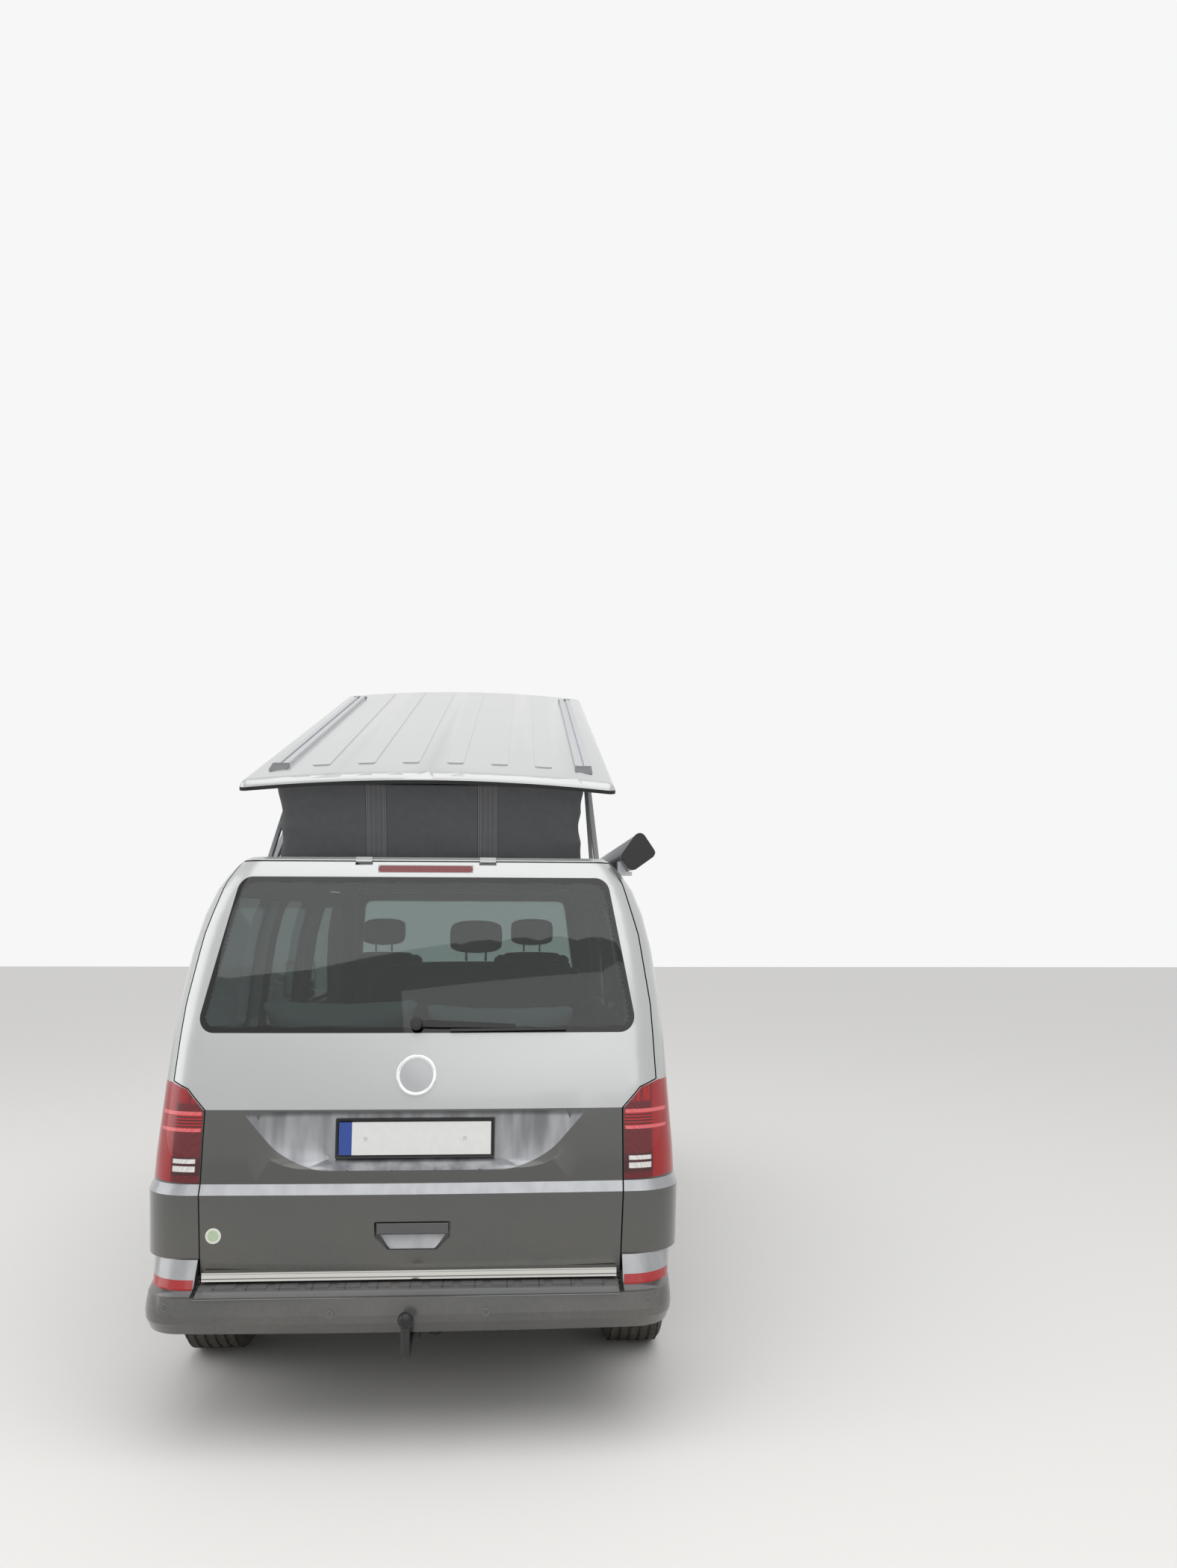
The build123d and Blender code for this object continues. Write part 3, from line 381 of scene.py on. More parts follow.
def paintMaterial(name, mode):
    paint, tree, shader = startMaterial(name, Metallic=0.62, Coat_Weight=0.8, Coat_Roughness=0.06,
                                        Specular_IOR_Level=0.5)
    place, x, y, z = objectPlace(tree)

    def overSplit(lower):
        return z.ramp(finish["split"] - 0.0006, finish["split"] + 0.0006).tint(lower, silver)

    flake = place.noise(2600.0, 2.0, 0.7).ramp(0.3, 0.7)
    silver = flake.shades(finish["silver"], 0.86, 1.12)
    grey = flake.shades(finish["bumperGrey"] if mode == "bumper" else finish["grey"], 0.8, 1.25)
    rough = place.noise(1.7, 2.0).blend(0.27, 0.36)
    if mode == "silver":
        colour = silver
    # bright and scoop are painted reflection: a lighter paint with streaks of painted sheen that stand in
    # for the sky
    elif mode in ("bright", "scoop"):
        low, high = (0.62, 1.25) if mode == "scoop" else (0.95, 1.15)
        sheen = place.stretched((9.0, 9.0, 1.6)).noise(1.6, 2.0).ramp(0.3, 0.68, True)
        colour = sheen.shades(finish["bright"], low, high)
    elif mode in ("grey", "bumper"):
        colour = grey
    else:
        colour = overSplit(grey)
    # the scoop: painted reflection in the plate's recess, darkened to a painted shadow under its top edge;
    # grey paint outside its outline
    if mode == "scoop":
        slope, corner, (kneeX, kneeZ) = finish["scoopSlope"], finish["scoopRound"], finish["scoopKnee"]
        side = ((z - kneeZ) * slope + kneeX - abs(x)) / math.hypot(1, slope)
        total = distance(*(larger(corner - reach, 0.0) for reach in (side, z - finish["scoopLow"])))
        colour = (z.ramp(*finish["scoopPaintedShadow"], True) * 0.72).tint(colour, (0.035, 0.035, 0.036))
        colour = total.ramp(corner + 0.001, corner - 0.001).tint(grey, colour)
        colour = overSplit(colour)
    if mode == "bumper":
        pad = x.between(*finish["padX"]) * z.ramp(*finish["padLow"]) * y.ramp(*finish["padRear"])
        padTone = abs(sine(x * 29.3)).ramp(0.05, 0.11).tint((0.035, 0.036, 0.038), (0.085, 0.087, 0.092))
        # the bumper's top lip takes the lighter paint: a painted highlight where it faces up to the sky
        lipHighlight = z.between(*finish["lipHighlight"]) * y.ramp(*finish["lipRear"])
        colour = (lipHighlight * 0.8).tint(colour, finish["bright"])
        colour = pad.tint(colour, padTone)
        rough = pad.blend(rough, 0.55)
        feed(shader, Metallic=pad.blend(0.62, 0.0), Coat_Weight=pad.blend(0.8, 0.0))
    if mode in ("twoTone", "cab"):
        inner = insideMask(tree, place)
        if mode == "cab":
            cowl = z.between(*finish["cowl"]) * x.between(*finish["cowlX"]) * y.ramp(*finish["cowlFront"])
            inner = larger(inner, cowl)
        colour = inner.tint(colour, finish["trimInside"])
        rough = inner.blend(rough, 0.75)
        feed(shader, Metallic=inner.blend(0.62, 0.0), Coat_Weight=inner.blend(0.8, 0.0))
    addDust(tree, shader, colour, rough, top=0.8, amount=0.35)
    feed(shader, Normal=place.noise(260.0, 2.0).bump(0.05, 0.0006))
    return paint


def fritEdge(across, rise, halves, levels, width, corner):
    # how far a place lies into the dark edge of a pane, whose half width changes with its height
    low, high = levels
    half = (rise - low) / (high - low) * (halves[1] - halves[0]) + halves[0]
    gaps = (half - abs(across), smaller(rise - low, high - rise))
    return distance(*(larger(width + corner - gap, 0.0) for gap in gaps))


def glassMaterial(name, tint, corner, fritOf):
    paint, tree, shader = startMaterial(name, Roughness=0.015, IOR=1.52, Metallic=0.0,
                                        Transmission_Weight=1.0)
    place, x, y, z = objectPlace(tree)
    total = fritOf(x, y, z)
    dotted = place.cells(190.0, 0.0) < total.ramp(corner - 0.016, corner) * 0.75
    glassTint = place.noise(2.2).tint(shade(tint, 0.92), tint)
    feed(shader, Base_Color=larger(dotted, total > corner).tint(glassTint, finish["frit"]))
    return paint


def plasticMaterial(name, colour, roughness=0.5, scale=900.0, depth=0.00025, dustTop=0.0, dustAmount=0.4):
    paint, tree, shader = startMaterial(name, Specular_IOR_Level=0.4)
    group = useGroup(tree, grain, Scale=scale)
    tone = out(group, "Mask").shades(colour, 0.85, 1.15)
    if dustTop:
        addDust(tree, shader, tone, roughness, top=dustTop, amount=dustAmount)
    else:
        feed(shader, Base_Color=tone,
             Roughness=out(group, "Mask").blend(roughness - 0.06, roughness + 0.06))
    feed(shader, Normal=out(group, "Height").bump(0.6, depth))
    return paint


def metalMaterial(name, colour, roughness=0.3, brushed=(1, 40, 1), dustTop=0.0, dustAmount=0.4,
                  metallic=1.0, dirt=(0.30, 0.26, 0.21)):
    paint, tree, shader = startMaterial(name, Metallic=metallic)
    lines = objectPlace(tree)[0].stretched(brushed).noise(30.0, 4.0)
    tone = lines.shades(colour, 0.85, 1.12)
    rough = lines.blend(roughness * 0.75, min(roughness * 1.3, 1.0))
    if dustTop:
        mask = addDust(tree, shader, tone, rough, top=dustTop, amount=dustAmount, dirt=dirt)
        feed(shader, Metallic=mask.blend(metallic, 0.0))
    else:
        feed(shader, Base_Color=tone, Roughness=rough)
    feed(shader, Normal=lines.bump(0.08, 0.0004))
    return paint


def clothMaterial(name, colour, scale=420.0, depth=0.0006, sheen=0.3, roughness=0.9, mottled=0.2):
    paint, tree, shader = startMaterial(name, Sheen_Weight=sheen, Sheen_Roughness=0.4,
                                        Specular_IOR_Level=0.25)
    group = useGroup(tree, weave, Scale=scale)
    mask, height = out(group, "Mask"), out(group, "Height")
    # darker where the weave lies low: painted shade between the threads, over a mottled tone
    tone = height.ramp(-1.2, 1.3).tint(shade(colour, 0.6), mask.shades(colour, 1 - mottled, 1 + mottled))
    feed(shader, Base_Color=tone, Roughness=mask.blend(roughness - 0.08, min(roughness + 0.05, 1.0)),
         Normal=height.bump(0.5, depth))
    return paint


def canvasMaterial():
    paint, tree, shader = startMaterial("coatedCanvas", Sheen_Weight=0.12, Sheen_Roughness=0.4,
                                        Specular_IOR_Level=0.3)
    place, x, y, z = objectPlace(tree)
    group = useGroup(tree, weave, Scale=700.0)
    tone = out(group, "Mask").tint((0.09, 0.093, 0.099), (0.124, 0.127, 0.133))
    offset = smaller(abs(x + 0.212), abs(x - 0.222))
    band = offset.ramp(0.0395, 0.0385)
    tone = (band * 0.35).tint(tone, (0.165, 0.166, 0.172))
    lines = larger(offset.between(0.0362, 0.0375, 0.0003), offset.between(0.0275, 0.0288, 0.0003))
    lines = larger(lines, offset.between(0.0092, 0.0102, 0.0003))
    tone = (lines * (sine(z * 1250.0) > -0.5)).tint(tone, (0.3, 0.3, 0.305))
    tone = (offset.between(0.0385, 0.041, 0.0004) * 0.7).tint(tone, (0.036, 0.036, 0.039))
    feed(shader, Base_Color=tone, Roughness=out(group, "Mask").blend(0.72, 0.86))
    height = out(group, "Height") * 0.3 + band * 0.8
    feed(shader, Normal=height.bump(0.6, 0.0012))
    return paint


tailLamp = {  # spans in z, and in x where the key says so
    "hood": (1.072, 1.08),
    "signal": (0.995, 1.038),
    "bars": ((1.038, 1.05), (0.984, 0.995)),
    "barsX": (0.726, 0.875, 0.004),
    "white": ((0.881, 0.896), (0.854, 0.873)),
    "whiteX": (0.737, 0.817, 0.002),
    "frame": (0.842, 0.902),
    "frameX": (0.72, 0.822),
    "foot": (0.8205, 0.8185),
    "rimX": (0.7225, 0.7205),
    "columnX": (0.818, 0.826),
    "reflector": (0.6, 0.59),
}


def tailLampMaterial():
    paint, tree, shader = startMaterial("tailLampLens", Coat_Weight=0.6, Coat_Roughness=0.03,
                                        Specular_IOR_Level=0.35)
    place, x, y, z = objectPlace(tree)
    across = abs(x)
    optic = place.cells(330.0, 0.0).ramp(0.1, 0.7)
    cherry = optic.tint((0.075, 0.003, 0.006), (0.15, 0.005, 0.009))
    column = sine(z * 1450.0).ramp(-1.0, 1.0).tint((0.27, 0.003, 0.005), (0.38, 0.005, 0.008))
    outer = across.ramp(*tailLamp["columnX"])
    colour = outer.tint(cherry, column)
    # painted reflection: streaks of lighter red across the lamp's top (its hood), where the sky would be
    # seen in the lens
    paintedReflection = place.stretched((26.0, 1.0, 2.5)).noise(3.0, 2.0).ramp(0.35, 0.65)
    rows = sine(z * 620.0).ramp(-0.2, 0.6)
    bars, white = (
        larger(*(z.between(*span) for span in tailLamp[key])) * across.between(*tailLamp[key + "X"])
        for key in ("bars", "white"))
    frameArea = z.between(*tailLamp["frame"]) * across.between(*tailLamp["frameX"])
    areas = (
        # the hood: painted reflection streaks
        (z.ramp(*tailLamp["hood"]) * (1.0 - outer), paintedReflection.tint((0.12, 0.003, 0.005), (0.36, 0.005, 0.009))),
        (z.between(*tailLamp["signal"]) * (1.0 - outer),
         rows.tint((0.08, 0.003, 0.005), (0.44, 0.008, 0.012))),
        (bars, optic.tint((0.55, 0.06, 0.07), (0.8, 0.16, 0.17))),
        (white, optic.tint((0.45, 0.42, 0.41), (0.85, 0.84, 0.82))),
        (frameArea * (1.0 - white), (0.055, 0.006, 0.008)),
        (larger(z.ramp(*tailLamp["foot"]), across.ramp(*tailLamp["rimX"])), (0.02, 0.01, 0.01)),
        (z.ramp(*tailLamp["reflector"]), optic.tint((0.26, 0.004, 0.006), (0.42, 0.01, 0.012))),
    )
    for area, tone in areas:
        colour = area.tint(colour, tone)
    feed(shader, Base_Color=colour, Roughness=optic.blend(0.14, 0.32), Normal=optic.bump(0.25, 0.0006))
    return paint


def headLampMaterial():
    paint, tree, shader = startMaterial("headLampLens", Coat_Weight=1.0, Coat_Roughness=0.02)
    place, x, y, z = objectPlace(tree)
    across = abs(x)
    bright = z.between(0.752, 0.764)
    for centreX, centreZ, size in ((0.6, 0.825, 0.062), (0.745, 0.832, 0.055)):
        reach = distance(across - centreX, z - centreZ)
        bowl, lens = (reach.ramp(edge + 0.002, edge - 0.002) for edge in (size, size * 0.5))
        bright = larger(bright, bowl - lens * 0.55)
    shell = sine(across * 900.0).ramp(-1, 1).tint((0.1, 0.105, 0.11), (0.17, 0.175, 0.18))
    amber = across.ramp(0.83, 0.835) * z.between(0.8, 0.86)
    colour = amber.tint(bright.tint(shell, (0.52, 0.53, 0.54)), (0.3, 0.15, 0.06))
    feed(shader, Base_Color=colour, Roughness=bright.blend(0.25, 0.08), Metallic=bright.blend(0.3, 0.95),
         Normal=bright.bump(0.5, 0.003))
    return paint


fittings = {
    "strip": (0.56, 0.559),
    "stripLines": ((0.5165, 0.52), (0.5325, 0.534)),
    "plate": (0.89, 1.02),
    "bandX": (-0.2155, -0.2165),
    "brake": (1.5, 1.51),
    "brakeCentre": (0.163, 1.8905),
    "brakeEdge": (0.0118, 0.0124),
}


def trimMaterial():
    paint, tree, shader = startMaterial("tailgateFittings", Coat_Weight=0.4, Coat_Roughness=0.05)
    place, x, y, z = objectPlace(tree)
    bright = z.ramp(*fittings["strip"])
    plate = z.between(*fittings["plate"])
    brake = z.ramp(*fittings["brake"])
    cells = place.noise(900.0, 2.0)
    colour = cells.ramp(0.3, 0.7).tint((0.085, 0.086, 0.087), (0.12, 0.121, 0.122))
    lines = larger(*(z.between(*span) for span in fittings["stripLines"]))
    strip = lines.tint((0.66, 0.655, 0.63), (0.16, 0.16, 0.15))
    colour = bright.tint(colour, strip)
    white = place.noise(40.0, 4.0).tint((0.7, 0.7, 0.68), (0.8, 0.8, 0.79))
    white = x.ramp(*fittings["bandX"]).tint(white, (0.012, 0.055, 0.3))
    colour = plate.tint(colour, white)
    lens = sine(x * 700.0).ramp(-1, 1).tint((0.09, 0.003, 0.005), (0.22, 0.006, 0.008))
    run, rise = fittings["brakeCentre"]
    reach = distance(larger(abs(x) - run, 0.0), z - rise)
    lens = reach.ramp(*fittings["brakeEdge"]).tint(lens, (0.3, 0.3, 0.3))
    metal = bright.blend(larger(plate, brake).blend(0.6, 0.0), 1.0)
    feed(shader, Base_Color=brake.tint(colour, lens), Metallic=metal,
         Roughness=bright.blend(cells.blend(0.24, 0.34), 0.07),
         Normal=cells.bump(0.05, 0.0004))
    return paint


def cabinUnitMaterial():
    paint, tree, shader = startMaterial("laminateUnits", Specular_IOR_Level=0.4)
    streaks = objectPlace(tree)[0].stretched((8, 1.5, 14)).noise(4.0, 8.0)
    feed(shader, Base_Color=streaks.ramp(0.3, 0.7).tint((0.3, 0.28, 0.25), (0.46, 0.43, 0.39)),
         Roughness=streaks.blend(0.35, 0.5), Normal=streaks.bump(0.1, 0.0005))
    return paint


def stickerMaterial():
    paint, tree, shader = startMaterial("stickerFilm", Roughness=0.35, Coat_Weight=0.3)
    place, x, y, z = objectPlace(tree)
    reach = distance(x + 0.664, z - 0.649)
    cloud = place.noise(60.0, 3.0)
    middle = cloud.tint((0.34, 0.5, 0.3), (0.62, 0.7, 0.52))
    edge = cloud.tint((0.7, 0.72, 0.64), (0.8, 0.8, 0.74))
    feed(shader, Base_Color=reach.ramp(0.0185, 0.019).tint(middle, edge))
    return paint


def floorMaterial():
    paint, tree, shader = startMaterial("floorCovering")
    place, x, y, z = objectPlace(tree)
    streaks = place.noise(14.0, 6.0)
    planks = streaks.tint((0.1, 0.09, 0.08), (0.19, 0.17, 0.15))
    top = abs(sine(x * 26.0)).ramp(0.0, 0.03).tint((0.03, 0.03, 0.03), planks)
    under = z.ramp(0.56, 0.55)
    colour = under.tint(top, streaks.tint((0.012, 0.012, 0.012), (0.05, 0.045, 0.04)))
    feed(shader, Base_Color=colour, Roughness=under.blend(0.45, 0.8), Normal=streaks.bump(0.3, 0.002))
    return paint


def towMaterial():
    paint, tree, shader = startMaterial("towBarCoating")
    place, x, y, z = objectPlace(tree)
    ball = y.ramp(-2.453, -2.454) * z.ramp(0.415, 0.4155)
    grit = place.noise(420.0, 3.0)
    black = grit.tint((0.012, 0.012, 0.013), (0.03, 0.029, 0.028))
    colour = ball.tint(black, grit.tint((0.014, 0.014, 0.015), (0.03, 0.03, 0.031)))
    feed(shader, Base_Color=colour, Roughness=ball.blend(0.42, 0.3), Metallic=ball.blend(0.0, 0.4),
         Normal=grit.bump(0.15, 0.0004))
    return paint


def tailFrit(x, y, z):
    return fritEdge(x, z, (0.776, 0.678), (1.309, 1.86), 0.014, 0.05)


def windscreenFrit(x, y, z):
    return fritEdge(x, z, (0.79, 0.672), (1.172, 1.848), 0.045, 0.05)


def sideFrit(x, y, z):
    return smaller(fritEdge(y - at(2.09), z, (0.43, 0.43), (1.19, 1.78), 0.03, 0.06),
                   fritEdge(y - at(1.01), z, (0.5, 0.47), (1.19, 1.78), 0.03, 0.06))


def doorFrit(x, y, z):
    return fritEdge(y - at(3.2), z, (1.2, 1.2), (1.19, 1.772), 0.012, 0.02)


looks = {
    "twoTone": (paintMaterial("twoTonePaint", "twoTone"),
        "left_side_panel right_side_panel sliding_door left_front_door right_front_door "
        "tailgate front_wings"),
    "cab": (paintMaterial("cabPaint", "cab"), "cab_frame"),
    "silver": (paintMaterial("silverPaint", "silver"), "rear_header cab_roof roof_lid bonnet"),
    "grey": (paintMaterial("greyPaint", "grey"), "left_mirror right_mirror"),
    "bumper": (paintMaterial("bumperPaint", "bumper"), "front_bumper rear_bumper"),
    # the painted highlight paint, laid further down onto the faces that catch the sky
    "bright": (paintMaterial("paintedHighlightPaint", "bright"), ""),
    # painted reflection and painted shadow of the plate's recess
    "scoop": (paintMaterial("scoopLightAndShadePaint", "scoop"), ""),
    "tailGlass": (glassMaterial("rearPrivacyGlass", (0.24, 0.30, 0.29), 0.05, tailFrit), "tailgate_glass"),
    "sideGlass": (glassMaterial("sidePrivacyGlass", (0.25, 0.30, 0.295), 0.06, sideFrit), "side_windows"),
    "windscreen": (glassMaterial("windscreenGlass", (0.60, 0.67, 0.64), 0.05, windscreenFrit),
        "windscreen"),
    "doorGlass": (glassMaterial("doorGlass", (0.62, 0.69, 0.66), 0.02, doorFrit),
        "left_door_window right_door_window"),
    "blackPlastic": (plasticMaterial("grainedBlackPlastic", (0.022, 0.022, 0.023), 0.55),
        "grille roof_frame steering_wheel"),
    "satinBlack": (plasticMaterial("satinBlackPlastic", (0.020, 0.020, 0.021), 0.26, 900.0, 0.00008),
        "rear_wiper"),
    "rubberSeal": (plasticMaterial("rubberSeal", (0.014, 0.014, 0.014), 0.7, 400.0, 0.0004), "lid_seal"),
    "arch": (plasticMaterial("archLiner", (0.02, 0.02, 0.02), 0.85, 220.0, 0.0012, 0.95, 0.7),
        "wheel_arch_liners"),
    "dash": (plasticMaterial("dashboardSkin", (0.035, 0.035, 0.037), 0.6, 700.0), "dashboard"),
    "tank": (plasticMaterial("tankPlastic", (0.02, 0.02, 0.02), 0.6, 300.0, 0.0006, 0.7, 0.6), "fuel_tank"),
    "anodised": (metalMaterial("anodisedRail", (0.62, 0.64, 0.66), 0.34, (40, 1, 1)), "roof_rails"),
    "armMetal": (metalMaterial("armMetal", (0.42, 0.43, 0.44), 0.42, (40, 1, 1)), "main_arms rear_arms"),
    "awning": (metalMaterial("awningCassette", (0.56, 0.58, 0.60), 0.36, (1, 1, 30)), "awning"),
    "alloy": (metalMaterial("wheelAlloy", (0.50, 0.51, 0.53), 0.28, (1, 1, 1), 0.62, 0.35),
        "front_left_rim front_right_rim rear_left_rim rear_right_rim"),
    "steel": (metalMaterial("coatedSteel", (0.035, 0.034, 0.033), 0.6, (1, 1, 1), 0.7, 0.55, 0.3,
                            (0.16, 0.11, 0.07)),
        "front_subframe front_struts chassis_rails rear_subframe left_knuckle right_knuckle"),
    "stainless": (metalMaterial("exhaustSteel", (0.36, 0.34, 0.31), 0.42, (4, 1, 1), 0.6, 0.6, 1.0,
                                (0.13, 0.09, 0.06)),
        "exhaust"),
    "castMetal": (metalMaterial("castMetal", (0.22, 0.22, 0.22), 0.55, (1, 1, 1), 0.9, 0.5, 0.8,
                                (0.10, 0.09, 0.08)),
        "engine_block"),
    "cooler": (metalMaterial("coolerFins", (0.16, 0.16, 0.16), 0.5, (1, 1, 300)), "radiator"),
    "tailLamp": (tailLampMaterial(), "tail_lamps"),
    "headLamp": (headLampMaterial(), "headlamps"),
    "fittings": (trimMaterial(), "tailgate_trim"),
    "units": (cabinUnitMaterial(), "cabin_units"),
    "floor": (floorMaterial(), "floor_pan"),
    "tow": (towMaterial(), "tow_bar"),
    "tyre": (plasticMaterial("tyreRubber", (0.020, 0.020, 0.020), 0.78, 500.0, 0.0004, 0.65, 0.45),
        "front_left_tyre front_right_tyre rear_left_tyre rear_right_tyre"),
    "chrome": (metalMaterial("brightChrome", (0.88, 0.885, 0.89), 0.06, (1, 1, 1)), ""),
    "canvas": (canvasMaterial(), "canvas"),
    "seatCloth": (clothMaterial("seatCloth", (0.075, 0.077, 0.082), 380.0), "front_seats rear_bench"),
    "bedding": (clothMaterial("beddingCloth", (0.80, 0.86, 0.84), 900.0, 0.0003, 0.4, 0.92, 0.06), ""),
    "blanket": (clothMaterial("blanketCloth", (0.22, 0.26, 0.31), 260.0, 0.0012, 0.5, 0.95, 0.15), ""),
    "mattress": (clothMaterial("mattressCloth", (0.30, 0.31, 0.33), 500.0), "rear_bed"),
    "capGrey": (plasticMaterial("railCapPlastic", (0.15, 0.155, 0.16), 0.42, 700.0), ""),
    "glossBlack": (plasticMaterial("glossBlackPlastic", (0.010, 0.010, 0.011), 0.14, 60.0, 0.00002), ""),
    "mirror": (metalMaterial("mirrorGlass", (0.80, 0.82, 0.83), 0.02, (1, 1, 1)), ""),
    "plate": (plasticMaterial("blankPlate", (0.74, 0.74, 0.73), 0.35, 200.0, 0.00005, 0.8, 0.25), ""),
    "sticker": (stickerMaterial(), ""),
}
material = {}
for key, (paint, names) in looks.items():
    material[key] = paint
    for name in names.split():
        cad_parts[name].data.materials.clear()
        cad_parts[name].data.materials.append(paint)

# Painted light on faces that catch the sky: the crease, the plate's scoop, the handle's lip
# and the shoulders over the reflectors get a lighter paint as a painted highlight, the scoop also a painted
# shadow


def paintFaces(piece, key, wanted):
    piece.data.materials.append(material[key])
    for face in piece.data.polygons:
        if wanted(face.center, face.normal):
            face.material_index = len(piece.data.materials) - 1


def onCrease(c, n):
    return 0.781 < c.z < 0.818 and n.z > 0.12 and c.y < at(0.62)


def inScoop(c, n):
    return 0.84 < c.z < 1.06 and abs(c.x) < 0.72 and c.y < at(0.1665) and n.y < -0.1


def onHandleLip(c, n):
    return 0.59 < c.z < 0.66 and abs(c.x) < 0.13 and at(0.10) < c.y < at(0.145) and n.z > 0.3


def overReflector(c, n):
    return abs(c.x) > 0.70 and c.z > 0.514 and c.y < at(0.35) and n.y < -0.2


# lay the painted highlight, and the scoop's painted light and shade, onto these faces
for name, key, wanted in (
        ("tailgate", "bright", lambda c, n: onCrease(c, n) or onHandleLip(c, n)),
        ("tailgate", "scoop", inScoop),
        ("left_side_panel", "bright", onCrease),
        ("right_side_panel", "bright", onCrease),
        ("rear_bumper", "bright", overReflector)):
    paintFaces(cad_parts[name], key, wanted)
print("materials ready")

# Smooth shading of the CAD nodes: faces that meet at a shallow angle are shaded as one

smoothing = {"merge": 0.00002, "angle": 15}


def makeSmoothing(values):
    tree = bpy.data.node_groups.new("smoothByAngle", "GeometryNodeTree")
    for way in ("INPUT", "OUTPUT"):
        tree.interface.new_socket("Geometry", in_out=way, socket_type="NodeSocketGeometry")
    strip = node(tree, "GeometryNodeRemoveAttribute")
    feed(strip, Geometry=out(node(tree, "NodeGroupInput")), Name="custom_normal")
    merge = node(tree, "GeometryNodeMergeByDistance")
    feed(merge, Geometry=out(strip), Distance=values["merge"])
    keep = node(tree, "GeometryNodeStoreNamedAttribute", data_type="BOOLEAN", domain="EDGE")
    feed(keep, Geometry=out(merge), Name="sharp_edge")
    bend = out(node(tree, "GeometryNodeInputMeshEdgeAngle"), "Unsigned Angle")
    link(bend > math.radians(values["angle"]),
         [s for s in keep.inputs if s.name == "Value" and s.enabled][0])
    smooth = node(tree, "GeometryNodeSetShadeSmooth")
    feed(smooth, Geometry=out(keep))
    link(out(smooth), node(tree, "NodeGroupOutput").inputs[0])
    return tree


smoothTree = makeSmoothing(smoothing)
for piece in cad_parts.values():
    piece.modifiers.new("smoothByAngle", "NODES").node_group = smoothTree
print("smoothing ready")

# Modelling helpers


def clearSelection():
    if bpy.context.object and bpy.context.object.mode != "OBJECT":
        bpy.ops.object.mode_set(mode="OBJECT")
    bpy.ops.object.select_all(action="DESELECT")


def takeUp(piece):
    clearSelection()
    piece.select_set(True)
    bpy.context.view_layer.objects.active = piece


def coat(piece, paint):
    piece.data.materials.clear()
    piece.data.materials.append(material[paint])


def settle(name, paint):
    piece = bpy.context.object
    piece.name = name
    bpy.ops.object.transform_apply(location=True, rotation=True, scale=True)
    coat(piece, paint)
    return piece


def addBox(name, centre, size, paint, turn=(0, 0, 0)):
    clearSelection()
    bpy.ops.mesh.primitive_cube_add(size=1, location=centre, scale=size, rotation=turn)
    return settle(name, paint)


def addDisc(name, centre, radius, depth, paint, turn=(0, 0, 0), vertices=48):
    clearSelection()
    bpy.ops.mesh.primitive_cylinder_add(vertices=vertices, radius=radius, depth=depth, location=centre,
                                        rotation=turn)
    return settle(name, paint)


def leaning(degrees):
    return (math.radians(degrees), 0, 0)


def facesRear(c, n):
    return n.y < -0.9


def finishWith(piece, kind, **settings):
    takeUp(piece)
    step = piece.modifiers.new(kind.lower(), kind)
    for key, value in settings.items():
        setattr(step, key, value)
    bpy.ops.object.modifier_apply(modifier=step.name)
    return piece


def smooth(piece, angle=None):
    takeUp(piece)
    if angle:
        bpy.ops.object.shade_smooth_by_angle(angle=math.radians(angle))
    else:
        bpy.ops.object.shade_smooth()
    return piece


def roundOff(piece, width, segments=3, angle=30):
    finishWith(piece, "BEVEL", width=width, segments=segments, limit_method="ANGLE",
               angle_limit=math.radians(angle))
    return smooth(piece, 35)


def selectOnly(piece, kind, wanted):
    takeUp(piece)
    bpy.ops.object.mode_set(mode="EDIT")
    bpy.ops.mesh.select_mode(type=kind)
    bpy.ops.mesh.select_all(action="DESELECT")
    bpy.ops.object.mode_set(mode="OBJECT")
    for item in piece.data.polygons if kind == "FACE" else piece.data.edges:
        item.select = wanted(item)
    bpy.ops.object.mode_set(mode="EDIT")


def edgeRun(piece, edge):
    first, second = (piece.data.vertices[index].co for index in edge.vertices)
    return first - second


def insetFaces(piece, wanted, thickness, depth=0.0, single=False):
    selectOnly(piece, "FACE", lambda face: wanted(face.center, face.normal))
    bpy.ops.mesh.inset(thickness=thickness, depth=depth, use_individual=single)
    bpy.ops.object.mode_set(mode="OBJECT")
    return piece


def shape(piece, move):
    takeUp(piece)
    for vertex in piece.data.vertices:
        vertex.co = move(vertex.co.copy())
    piece.data.update()
    return piece


def pushOut(piece, amount):
    # along each vertex's normal, as far as amount says for its place
    normals = [vertex.normal.copy() for vertex in piece.data.vertices]
    for vertex, normal in zip(piece.data.vertices, normals):
        vertex.co += normal * amount(vertex.co)
    piece.data.update()


def editAll(piece, step, **settings):
    takeUp(piece)
    bpy.ops.object.mode_set(mode="EDIT")
    bpy.ops.mesh.select_all(action="SELECT")
    step(**settings)
    bpy.ops.object.mode_set(mode="OBJECT")
    return piece


def divide(piece, cuts):
    return editAll(piece, bpy.ops.mesh.subdivide, number_cuts=cuts)


def outward(piece):
    editAll(piece, bpy.ops.mesh.remove_doubles, threshold=0.00005)
    return editAll(piece, bpy.ops.mesh.normals_make_consistent, inside=False)


def copyPiece(piece, name, offset=(0, 0, 0), flip=False):
    twin = piece.copy()
    twin.data = piece.data.copy()
    twin.name = name
    bpy.context.scene.collection.objects.link(twin)
    turn = Matrix.Rotation(math.pi, 4, "Z") if flip else Matrix.Identity(4)
    twin.data.transform(Matrix.Translation(offset) @ turn)
    twin.parent = None
    twin.matrix_world = Matrix.Identity(4)
    return twin


def joinPieces(pieces, name):
    takeUp(pieces[0])
    for piece in pieces:
        piece.select_set(True)
    bpy.ops.object.join()
    bpy.context.object.name = name
    return bpy.context.object


